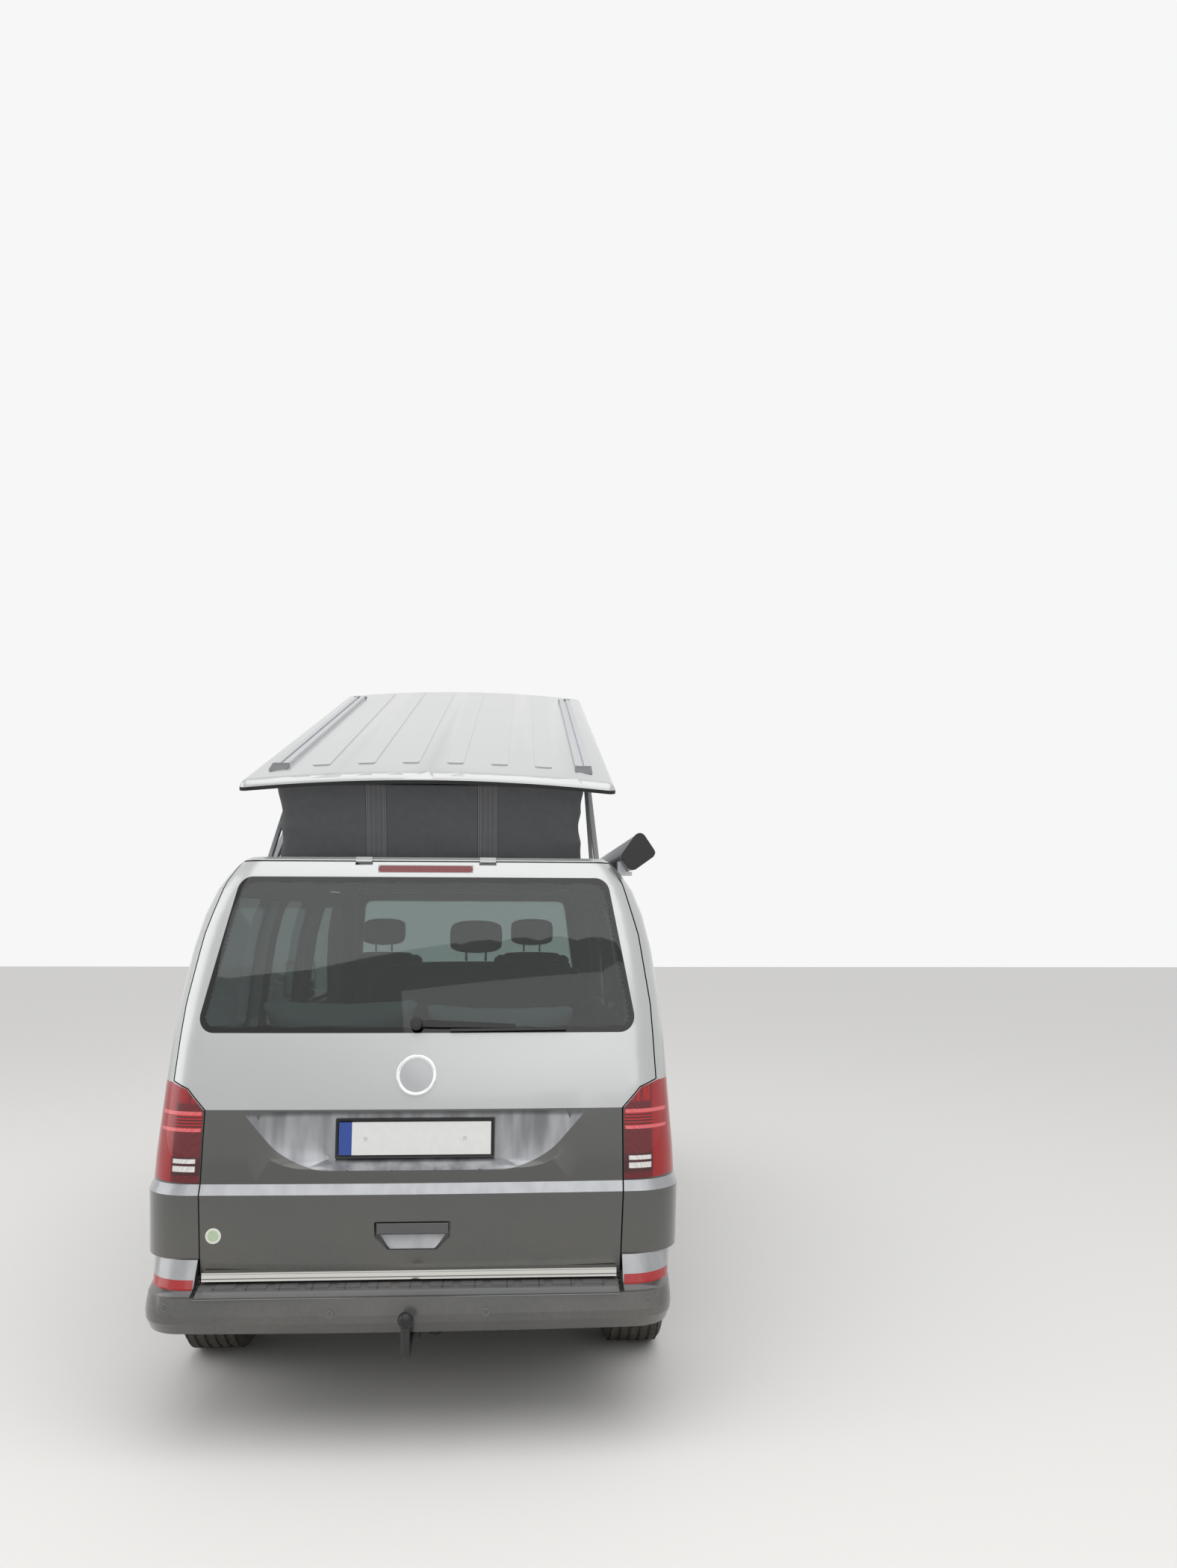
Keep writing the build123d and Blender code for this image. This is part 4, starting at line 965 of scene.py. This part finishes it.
def sliceOf(nodeName, name, low, high, paint, lift=0.0):
    # the part of a node that lies in a box, laid over it by lift
    piece = copyPiece(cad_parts[nodeName], name)
    piece.modifiers.clear()
    takeUp(piece)
    bpy.ops.mesh.customdata_custom_splitnormals_clear()
    editAll(piece, bpy.ops.mesh.remove_doubles, threshold=0.00002)
    centre = tuple((a + b) / 2 for a, b in zip(low, high))
    size = tuple(b - a for a, b in zip(low, high))
    box = addBox("sliceBox", centre, size, paint)
    finishWith(piece, "BOOLEAN", operation="INTERSECT", object=box, solver="EXACT")
    bpy.data.objects.remove(box, do_unlink=True)
    if lift:
        editAll(piece, bpy.ops.transform.shrink_fatten, value=lift)
    coat(piece, paint)
    return smooth(piece, 30)


lidTilt = math.radians(17.5)
lidTurn = (lidTilt, 0, 0)
lidAlong = Vector((0, math.cos(lidTilt), math.sin(lidTilt)))
lidUp = Vector((0, -math.sin(lidTilt), math.cos(lidTilt)))


def onLid(x, s, n):
    # x across, s along the tilted lid and n square to it, from the lid's rear lower edge
    return Vector((x, at(0.434), 2.180)) + lidAlong * s + lidUp * n


# Tyres with blocks, grooves and a moulded sidewall

tyreShape = {
    "steps": 108,
    "blockRise": 0.0072,
    "blockGap": 0.0026,
    "sweep": 0.55,
    "axle": 0.345,
    "places": {"front_left": (-0.814, 3.996), "front_right": (0.814, 3.996), "rear_left": (-0.814, 0.996),
               "rear_right": (0.814, 0.996)},
}


def makeTyre(values):
    side = [(0.2165, 0.092), (0.2225, 0.103), (0.229, 0.1085), (0.236, 0.1095), (0.243, 0.1105),
            (0.246, 0.1125), (0.262, 0.1155), (0.285, 0.1172), (0.302, 0.1160), (0.304, 0.1148),
            (0.314, 0.1128), (0.325, 0.1080), (0.332, 0.1010), (0.3362, 0.0945)]
    crown = [(0.3368, 0.0900), (0.3374, 0.0610), (0.3376, 0.0520), (0.3378, 0.0235), (0.3378, 0.0150)]
    profile = side + crown + [(r, -x) for r, x in reversed(crown)] + [(r, -x) for r, x in reversed(side)]
    clearSelection()
    bpy.ops.mesh.primitive_circle_add(vertices=len(profile), radius=0.1, fill_type="NOTHING")
    piece = bpy.context.object
    for vertex, (r, x) in zip(piece.data.vertices, profile):
        vertex.co = (x, 0, r)
    editAll(piece, bpy.ops.mesh.spin, steps=values["steps"], angle=2 * math.pi, center=(0, 0, 0),
            axis=(1, 0, 0), use_auto_merge=True)
    outward(piece)
    settle("tyreMaster", "tyre")
    ribs = ((0.0610, 0.0945), (0.0235, 0.0520), (-0.0150, 0.0150))

    def isBlock(centre, normal):
        if math.hypot(centre.y, centre.z) <= 0.3345:
            return False
        return any(low < (abs(centre.x) if low > 0 else centre.x) < high for low, high in ribs)

    insetFaces(piece, isBlock, values["blockGap"], values["blockRise"], single=True)
    shape(piece, lambda p: Matrix.Rotation(values["sweep"] * min(abs(p.x), 0.1), 3, "X") @ p)
    return smooth(piece, 32)


def fitWheels(master, kind):
    for corner, (x, d) in tyreShape["places"].items():
        piece = copyPiece(master, corner + kind, (x, at(d), tyreShape["axle"]), flip=x < 0)
        if kind == "Tyre":
            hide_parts(corner + "_tyre")
        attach(piece, corner + "_wheel")
    bpy.data.objects.remove(master, do_unlink=True)


fitWheels(makeTyre(tyreShape), "Tyre")
print("tyres ready")

# Wheel hubs: centre caps and bolts

hubShape = {"cap": 0.031, "bolt": 0.0085, "boltCircle": 0.058, "face": 0.064}


def makeHub(values):
    cap = addDisc("hubCap", (values["face"] + 0.004, 0, 0), values["cap"], 0.012, "alloy",
                  (0, math.pi / 2, 0), 40)
    insetFaces(cap, lambda c, n: n.x > 0.9, 0.004, 0.0015)
    insetFaces(cap, lambda c, n: n.x > 0.9 and math.hypot(c.y, c.z) < 0.002, 0.006, -0.001)
    roundOff(cap, 0.0012, 2)
    parts = [cap]
    for index in range(5):
        angle = math.radians(36 + 72 * index)
        place = (values["face"] - 0.006, values["boltCircle"] * math.sin(angle),
                 values["boltCircle"] * math.cos(angle))
        bolt = addDisc("wheelBolt", place, values["bolt"], 0.014, "steel", (0, math.pi / 2, 0), 6)
        parts.append(roundOff(bolt, 0.001, 2))
    return joinPieces(parts, "hubMaster")


fitWheels(makeHub(hubShape), "Hub")
print("hubs ready")

# The pop-up roof's canvas: one sheet round the four sides, with its folds, sag and sewn bands

canvasShape = {
    "columns": 300,
    "rows": 34,
    "half": 0.598,
    "low": (0.622, 3.211, 1.8955),
    "high": ((0.523, 2.2225), (2.914, 2.9785)),
    "corner": 0.045,
    "sag": 0.016,
    "seams": (-0.212, 0.222),
    "thickness": 0.0014,
}


def ringPoint(share, half, rear, front, corner):
    # share 0 to 1 runs from the middle of the rear wall to the right, along the side and round
    across, along, arc = half - corner, front - rear - 2 * corner, math.pi * corner / 2
    legs = ((across, across, rear + corner), (along, across, front - corner),
            (2 * across, -across, front - corner), (along, -across, rear + corner),
            (across, 0, rear + corner))
    travel = share * (4 * across + 2 * along + 4 * arc)
    for quarter, (length, x, d) in enumerate(legs):
        # each leg is a straight that ends beside its corner's centre, and then the corner
        if travel <= length + arc or quarter == 4:
            break
        travel -= length + arc
    turn = quarter * math.pi / 2 + max(travel - length, 0) / corner
    short = max(length - travel, 0)
    normal = (math.sin(turn), -math.cos(turn))
    place = (x + corner * normal[0] - short * math.cos(turn),
             d + corner * normal[1] - short * math.sin(turn))
    return place, normal


def makeCanvas(values):
    clearSelection()
    bpy.ops.mesh.primitive_cylinder_add(vertices=values["columns"], radius=1, depth=1,
                                        end_fill_type="NOTHING")
    piece = bpy.context.object
    selectOnly(piece, "EDGE", lambda edge: abs(edgeRun(piece, edge).z) > 0.5)
    bpy.ops.mesh.subdivide(number_cuts=values["rows"])
    bpy.ops.object.mode_set(mode="OBJECT")
    random.seed(4)
    waves = [[random.uniform(*span) for span in ((6, 26), (1, 7), (0, 6.3), (0.0006, 0.0018))]
             for _ in range(9)]
    rearLow, frontLow, low = values["low"]
    (rearHigh, rearTop), (frontHigh, frontTop) = values["high"]

    def place(point):
        share = (math.atan2(point.y, point.x) / (2 * math.pi)) % 1.0
        rise = point.z + 0.5
        (x0, d0), normal = ringPoint(share, values["half"], rearLow, frontLow, values["corner"])
        (x1, d1), _ = ringPoint(share, values["half"], rearHigh, frontHigh, values["corner"])
        top = rearTop + (frontTop - rearTop) * (d1 - rearHigh) / (frontHigh - rearHigh)
        x, d, z = x0 + (x1 - x0) * rise, d0 + (d1 - d0) * rise, low + (top - low) * rise
        hang = math.sin(math.pi * rise)
        span = top - low
        push = -values["sag"] * hang * min(1.0, span / 0.5)
        around = share * 7.6
        for a, b, phase, size in waves:
            push += size * math.sin(a * around + b * rise + phase) * (0.25 + hang)
        for index, (centre, width) in enumerate(((0.08, 0.05), (0.90, 0.07))):
            gather = math.exp(-((rise - centre) / width) ** 2)
            push += 0.0035 * gather * math.sin(34 * around + index + 3 * rise)
        edge = min(abs(d - rearLow), abs(d - frontLow)) if abs(normal[0]) > 0.5 else values["half"] - abs(x)
        push += -0.010 * math.exp(-edge / 0.09) * hang * abs(math.sin(9 * rise + 2 * share))
        if abs(normal[1]) > 0.5:
            for seam in values["seams"]:
                off = abs(x - seam) - 0.033
                push += 0.0022 * math.exp(-(off / 0.006) ** 2)
                push -= 0.0016 * math.exp(-((x - seam) / 0.028) ** 2) * math.sin(95 * z)
        return Vector((x + normal[0] * push, at(d) + normal[1] * push, z))

    shape(piece, place)
    settle("canvasWalls", "canvas")
    outward(piece)
    finishWith(piece, "SOLIDIFY", thickness=values["thickness"], offset=0)
    return smooth(piece)


canvas = makeCanvas(canvasShape)
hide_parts("canvas")
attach(canvas, "root")
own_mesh(canvas)
print("canvas ready")

# Lid: end caps of the two rails

railCap = {"half": 0.033, "length": 0.085, "rise": 0.0175, "ends": (0.199, 2.501), "base": 0.0515,
           "taper": 0.62, "draw": 0.012}


def makeRailCap(values, x, s, name):
    centre = onLid(x, s, values["base"] + values["rise"] / 2)
    cap = addBox(name, centre, (2 * values["half"], values["length"], values["rise"]), "capGrey", lidTurn)
    away = lidAlong * (-1 if s < 1 else 1)

    def taper(place):
        if (place - centre).dot(away) > 0 and (place - centre).dot(lidUp) > 0:
            return place - lidUp * values["rise"] * values["taper"] - away * values["draw"]
        return place

    shape(cap, taper)
    insetFaces(cap, lambda c, n: n.dot(lidUp) > 0.8, 0.012, -0.006)
    return roundOff(cap, 0.0025, 2)


for side in (-1, 1):
    for end, s in enumerate(railCap["ends"]):
        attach(makeRailCap(railCap, side * 0.600, s, "railCap" + str(side) + str(end)), "roof_lid")
print("rail caps ready")

# Awning: end caps and the fabric's lead bar

for name, low, high in (("awningRearCap", 0.490, 0.522), ("awningFrontCap", 3.058, 3.090)):
    cap = sliceOf("awning", name, (0.70, at(low), 1.80), (0.95, at(high), 2.10), "blackPlastic", 0.0022)
    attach(cap, "root")
bar = addBox("awningLeadBar", (0.8675, at(1.79), 1.979), (0.008, 2.52, 0.042), "anodised",
             (0, math.radians(-33.8), 0))
divide(bar, 1)
insetFaces(bar, lambda c, n: n.x > 0.7, 0.004, -0.001)
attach(roundOff(bar, 0.001, 2), "root")
print("awning ready")

# Tailgate: plate frame, blank disc, round sticker, the wiper's cap and arm, and the handle's scoop

plateFrame = {"half": (0.272, 0.066), "centre": (0, at(0.156), 0.957), "depth": 0.014, "border": 0.011}


def makePlateFrame(values):
    width, height = values["half"]
    frameBox = addBox("plateFrame", values["centre"], (2 * width, values["depth"], 2 * height),
                      "blackPlastic")
    insetFaces(frameBox, facesRear, values["border"], -0.009)
    roundOff(frameBox, 0.002, 2)
    screws = [frameBox]
    for x in (-0.17, 0.17):
        screw = addDisc("plateScrew", (x, at(0.1488), 0.957), 0.006, 0.003, "anodised", leaning(90), 24)
        insetFaces(screw, facesRear, 0.002, -0.0008)
        screws.append(roundOff(screw, 0.0006, 2))
    return joinPieces(screws, "plateFrame")


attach(makePlateFrame(plateFrame), "tailgate")

discShape = {"radius": 0.0695, "depth": 0.012, "z": 1.169, "d": 0.1545, "lean": 13.0}


def makeDisc(values):
    lean, middle = math.radians(values["lean"]), Vector((0, at(values["d"]), values["z"]))
    disc = addDisc("blankDisc", middle, values["radius"], values["depth"], "chrome",
                   (math.pi / 2 - lean, 0, 0), 96)
    facing = Vector((0, -math.cos(lean), math.sin(lean)))
    insetFaces(disc, lambda c, n: n.dot(facing) > 0.9, 0.006, 0.003)
    for reach, thickness, depth in ((0.03, 0.004, -0.004), (0.02, 0.020, 0.003)):
        insetFaces(disc, lambda c, n: n.dot(facing) > 0.98 and (c - middle).length < reach,
                   thickness, depth)
    roundOff(disc, 0.0012, 3, 20)
    inner = values["radius"] - 0.011
    paintFaces(disc, "armMetal", lambda c, n: (c - middle).length < inner and n.dot(facing) > 0.5)
    return disc


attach(makeDisc(discShape), "tailgate")

sticker = addDisc("roundSticker", (-0.664, at(0.1190), 0.649), 0.026, 0.0012, "sticker", leaning(94), 48)
insetFaces(sticker, facesRear, 0.004, 0.0002)
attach(sticker, "tailgate")

wiperCap = addDisc("wiperSpindleCap", (-0.006, at(0.166), 1.343), 0.021, 0.018, "blackPlastic",
                   leaning(76), 40)
insetFaces(wiperCap, facesRear, 0.006, 0.004)
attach(roundOff(wiperCap, 0.003, 3), "tailgate")
armShell = sliceOf("rear_wiper", "wiperArmShell", (-0.03, at(0.15), 1.3278), (0.345, at(0.21), 1.366),
                   "glossBlack", 0.0026)
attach(armShell, "tailgate")
handleLip = {"half": (0.112, 0.074), "z": (0.646, 0.5995), "d": (0.1392, 0.1215)}


def makeHandleLip(values):
    # a scoop under the handle, in the lighter paint as a painted highlight: deep behind its top edge, and
    # out to the skin at its lower edge
    lipHighlight = addBox("handleScoop", (0, at(0.13), 0.62), (0.2, 0.02, 0.04), "bright")
    divide(lipHighlight, 7)

    def place(p):
        rise = (p.z - 0.60) / 0.04
        depth = (p.y - at(0.12)) / 0.02
        half = values["half"][1] + (values["half"][0] - values["half"][1]) * rise ** 0.8
        front = values["d"][1] + (values["d"][0] - 0.0015 - values["d"][1]) * math.sin(rise * math.pi / 2)
        d = front + (values["d"][0] - front) * depth
        return Vector((p.x / 0.1 * half, at(d), values["z"][1] + (values["z"][0] - values["z"][1]) * rise))

    shape(lipHighlight, place)
    return roundOff(lipHighlight, 0.0008, 2, 50)


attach(makeHandleLip(handleLip), "tailgate")
print("tailgate ready")

# Rear bumper: parking sensors

for x, z, d in ((-0.789, 0.451, 0.030), (-0.253, 0.430, 0.0012), (0.253, 0.430, 0.0012),
                (0.789, 0.451, 0.030)):
    sensor = addDisc("parkingSensor", (x, at(d), z), 0.0125, 0.007, "capGrey", leaning(90), 32)
    insetFaces(sensor, facesRear, 0.0028, -0.0010)
    insetFaces(sensor, lambda c, n: n.y < -0.9 and abs(c.y - at(d) + 0.0025) < 0.0006, 0.0012, 0.0008)
    roundOff(sensor, 0.0006, 2)
    paintFaces(sensor, "bumper", lambda c, n: math.hypot(c.x - x, c.z - z) < 0.0092 and n.y < -0.5)
    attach(sensor, "root")

# Tow bar: socket with its flap at the right of the neck

socket = addDisc("towSocket", (0.088, at(0.066), 0.372), 0.030, 0.045, "blackPlastic", leaning(80), 36)
insetFaces(socket, facesRear, 0.005, -0.004)
roundOff(socket, 0.002, 2)
flap = addBox("towSocketFlap", (0.088, at(0.044), 0.404), (0.052, 0.006, 0.018), "blackPlastic")
roundOff(flap, 0.002, 2)
hanger = addBox("towSocketPlate", (0.060, at(0.092), 0.372), (0.075, 0.006, 0.052), "steel")
roundOff(hanger, 0.0015, 2)
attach(joinPieces([socket, flap, hanger], "towSocket"), "root")
print("rear fittings ready")

# Soft goods in the cabin: bedding and seats


def addPad(name, centre, size, paint, turn=(0, 0, 0), crown=0.3, pull=0.05, cuts=6):
    clearSelection()
    bpy.ops.mesh.primitive_cube_add(size=2, location=(0, 0, 0))
    piece = bpy.context.object
    divide(piece, cuts)

    def puff(p):
        swell = max((1 - p.x ** 2) * (1 - p.y ** 2), 0.0) ** 0.35
        p.z *= 1 - crown + crown * swell
        width, length = 1 - pull * (1 - p.y ** 2), 1 - pull * (1 - p.x ** 2)
        return Vector((p.x * width * size[0] / 2, p.y * length * size[1] / 2, p.z * size[2] / 2))

    shape(piece, puff)
    finishWith(piece, "SUBSURF", levels=2, render_levels=2)
    piece.rotation_euler = turn
    piece.location = centre
    return settle(name, paint)


def plump(piece, voxel, pressure, cap):
    finishWith(piece, "REMESH", mode="VOXEL", voxel_size=voxel)
    start = [vertex.co.copy() for vertex in piece.data.vertices]
    cloth = piece.modifiers.new("cloth", "CLOTH")
    cloth.settings.use_pressure = True
    cloth.settings.uniform_pressure_force = pressure
    cloth.settings.effector_weights.gravity = 0
    for count in range(1, 21):
        bpy.context.scene.frame_set(count)
    takeUp(piece)
    bpy.ops.object.modifier_apply(modifier=cloth.name)
    bpy.context.scene.frame_set(1)
    for vertex, old in zip(piece.data.vertices, start):
        move = vertex.co - old
        if move.length > cap:
            vertex.co = old + move * (cap / move.length)
    piece.data.update()
    finishWith(piece, "SMOOTH", factor=0.5, iterations=3)
    finishWith(piece, "SUBSURF", levels=1, render_levels=1)
    return smooth(piece)


def rumple(piece, size, seed):
    random.seed(seed)
    waves = [(Vector([random.uniform(-24, 24) for _ in range(3)]), random.uniform(0, 6.3))
             for _ in range(7)]

    def fold(place):
        creases = sum(1 - abs(math.sin(wave.dot(place) + phase)) for wave, phase in waves)
        return size * (creases / len(waves) - 0.4)

    pushOut(piece, fold)


def quilt(piece, lines, depth, width):
    # each line is (point, across): a channel where a plane through point cuts the pad
    pushOut(piece, lambda place: -depth * max(math.exp(-((place - point).dot(across) / width) ** 2)
                                              for point, across in lines))


bedShape = {
    "mattress": ((0, at(0.855), 1.010), (1.384, 1.034, 0.098)),
    "pillows": (((-0.31, at(0.500), 1.240), (0.60, 0.40, 0.14), 116, 4),
                ((0.29, at(0.488), 1.232), (0.58, 0.39, 0.14), 120, -5)),
    "blanket": ((0.02, at(0.93), 1.088), (1.16, 0.66, 0.050)),
    "voxels": (0.014, 0.008, 0.012),
}


def makeBedding(values):
    centre, size = values["mattress"]
    mattress = addPad("mattress", centre, size, "mattress", crown=0.06, pull=0.0, cuts=9)
    plump(mattress, values["voxels"][0], 3, 0.004)
    piping = [(Vector((0, centre[1], centre[2] + lift)), Vector((0, 0, 1))) for lift in (-0.036, 0.036)]
    quilt(mattress, piping, 0.004, 0.005)
    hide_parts("rear_bed")
    pieces = [mattress]
    for index, (centre, size, lean, twist) in enumerate(values["pillows"]):
        turn = (math.radians(lean), 0, math.radians(twist))
        pillow = addPad("pillow" + str(index + 1), centre, size, "bedding", turn, crown=0.8, pull=0.10)
        plump(pillow, values["voxels"][1], 4, 0.016)
        rumple(pillow, 0.006, 17 + index)
        pieces.append(pillow)
    centre, size = values["blanket"]
    blanket = addPad("foldedBlanket", centre, size, "blanket", crown=0.25, pull=0.02, cuts=8)
    plump(blanket, values["voxels"][2], 3, 0.010)
    rumple(blanket, 0.009, 9)
    for piece in pieces + [blanket]:
        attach(piece, "root")


makeBedding(bedShape)
print("bedding ready")

seatShape = {
    "rows": {"leftSeat": (-0.42, 3.0, 0.50, "front_seats"), "rightSeat": (0.42, 3.0, 0.50, None),
             "bench": (0.15, 1.75, 1.04, "rear_bench")},
    "lean": 8.7,
    "channel": (0.008, 0.010),
}


def makeSeat(values, name, x, d, width, node):
    y, turn = at(d), leaning(values["lean"])
    base = addBox(name + "Base", (x, y + 0.01, 0.694), (width - 0.09, 0.41, 0.205), "blackPlastic")
    insetFaces(base, lambda c, n: abs(n.x) > 0.9 or n.y < -0.9, 0.03, -0.008, single=True)
    roundOff(base, 0.010, 3)
    hard = [base]
    for side in (-0.045, 0.045):
        post = addDisc(name + "Post", (x + side, y - 0.296, 1.535), 0.006, 0.06, "chrome", turn, 20)
        hard.append(roundOff(post, 0.001, 1))
    hard = joinPieces(hard, name + "Base")
    pads = []
    for part, centre, size, lean, crown, pull, cuts, voxel, cap in (
            ("Cushion", (x, y, 0.866), (width - 0.012, 0.50, 0.115), (0, 0, 0), 0.3, 0.02, 7, 0.010, 0.008),
            ("Back", (x, y - 0.246, 1.212), (width - 0.044, 0.112, 0.6), turn, 0.12, 0.01, 7, 0.01, 0.007),
            ("Head", (x, y - 0.298, 1.616), (0.238, 0.078, 0.150), turn, 0.3, 0.04, 6, 0.006, 0.005)):
        pad = addPad(name + part, centre, size, "seatCloth", lean, crown=crown, pull=pull, cuts=cuts)
        pads.append(plump(pad, voxel, 3, cap))
    cushion, back = pads[:2]
    depth, line = values["channel"]
    sides = [(Vector((x + side * (width / 2 - 0.085), y, 0)), Vector((1, 0, 0))) for side in (-1, 1)]
    backLines = [(Vector((x, y - 0.246, z)), Vector((0, 0.15, 0.989))) for z in (1.03, 1.17, 1.31, 1.44)]
    cushionLines = [(Vector((x, y + shift, 0.866)), Vector((0, 1, 0))) for shift in (-0.08, 0.06)]
    quilt(back, sides + backLines, depth, line)
    quilt(cushion, sides + cushionLines, depth, line)
    if node:
        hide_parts(node)
    for piece in pads:
        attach(piece, "root")
    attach(hard, "root")


for name, (x, d, width, node) in seatShape["rows"].items():
    makeSeat(seatShape, name, x, d, width, node)
print("seats ready")

# Door mirrors: the glass in each housing

mirrorShape = {"x": 1.050, "z": 1.302, "d": 3.560, "size": (0.150, 0.004, 0.190), "back": 0.0615,
               "corner": 0.03}


def makeMirrorGlass(values, side, name):
    plate = addBox(name, (side * values["x"], at(values["d"]) - values["back"], values["z"]),
                   values["size"], "mirror")
    selectOnly(plate, "EDGE", lambda edge: abs(edgeRun(plate, edge).y) > 0.002)
    bpy.ops.mesh.bevel(offset=values["corner"], segments=8)
    bpy.ops.object.mode_set(mode="OBJECT")
    return roundOff(plate, 0.0008, 2, 60)


for side, name in ((-1, "left"), (1, "right")):
    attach(makeMirrorGlass(mirrorShape, side, name + "MirrorGlass"), name + "_front_door")
print("mirrors ready")

# Windscreen wipers laid on the glass, and the front plate

frontWiper = {"pivots": (-0.60, 0.10), "reach": 0.64, "low": 1.192, "rise": 0.035}


def screenPlace(x, z):
    # the windscreen's outer face, found from its own mesh
    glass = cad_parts["windscreen"]
    hit, place, normal, _ = glass.ray_cast(Vector((x, 4.0, z)), Vector((0, -1, 0)))
    return (place, normal) if hit else (None, None)


def makeFrontWiper(values, x, name):
    reach, low = values["reach"], values["low"]
    arm = addBox(name, (x + reach * 0.29, 0, low + 0.004), (reach * 0.58, 0.010, 0.016), "blackPlastic")
    blade = addBox(name, (x + reach * 0.60, 0, low + 0.026), (reach * 0.78, 0.008, 0.010), "blackPlastic")
    parts = []
    for piece, lift in ((arm, 0.017), (blade, 0.007)):
        divide(piece, 15)

        def lay(p):
            z = p.z + values["rise"] * (p.x - x) / reach
            place, normal = screenPlace(p.x, z)
            return p if place is None else place + normal * (lift + p.y)

        shape(piece, lay)
        outward(piece)
        parts.append(roundOff(piece, 0.001, 2, 50))
    return joinPieces(parts, name)


for index, x in enumerate(frontWiper["pivots"]):
    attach(makeFrontWiper(frontWiper, x, "frontWiper" + str(index + 1)), "root")

frontPlate = addBox("frontPlate", (0, at(4.9075), 0.520), (0.52, 0.006, 0.11), "plate")
insetFaces(frontPlate, lambda c, n: n.y > 0.9, 0.003, -0.0008)
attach(roundOff(frontPlate, 0.0015, 2), "root")
print("front fittings ready")

# Dashboard: instrument hood, centre screen and air vents

dashShape = {
    "hood": ((-0.42, at(3.60), 1.158), (0.36, 0.20, 0.070)),
    "screen": ((0.0, at(3.497), 1.075), (0.24, 0.02, 0.14)),
    "vents": (-0.62, -0.20, 0.20, 0.60),
    "slats": 4,
}


def makeDash(values):
    hood = smooth(addPad("instrumentHood", *values["hood"], "dash", crown=0.35, pull=0.0, cuts=4))
    screen = addBox("centreScreen", *values["screen"], "glossBlack", leaning(-8))
    insetFaces(screen, facesRear, 0.010, -0.002)
    roundOff(screen, 0.003, 3)
    parts = []
    for x in values["vents"]:
        vent = addBox("airVent", (x, at(3.499), 1.075), (0.11, 0.03, 0.055), "blackPlastic", leaning(-8))
        insetFaces(vent, facesRear, 0.006, -0.012)
        parts.append(roundOff(vent, 0.002, 2))
        for k in range(values["slats"]):
            slat = addBox("ventSlat", (x, at(3.494), 1.057 + 0.012 * k), (0.098, 0.018, 0.0018), "dash",
                          leaning(20))
            parts.append(roundOff(slat, 0.0004, 1))
    for piece in (hood, screen, joinPieces(parts, "airVents")):
        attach(piece, "root")


makeDash(dashShape)
print("dashboard ready")
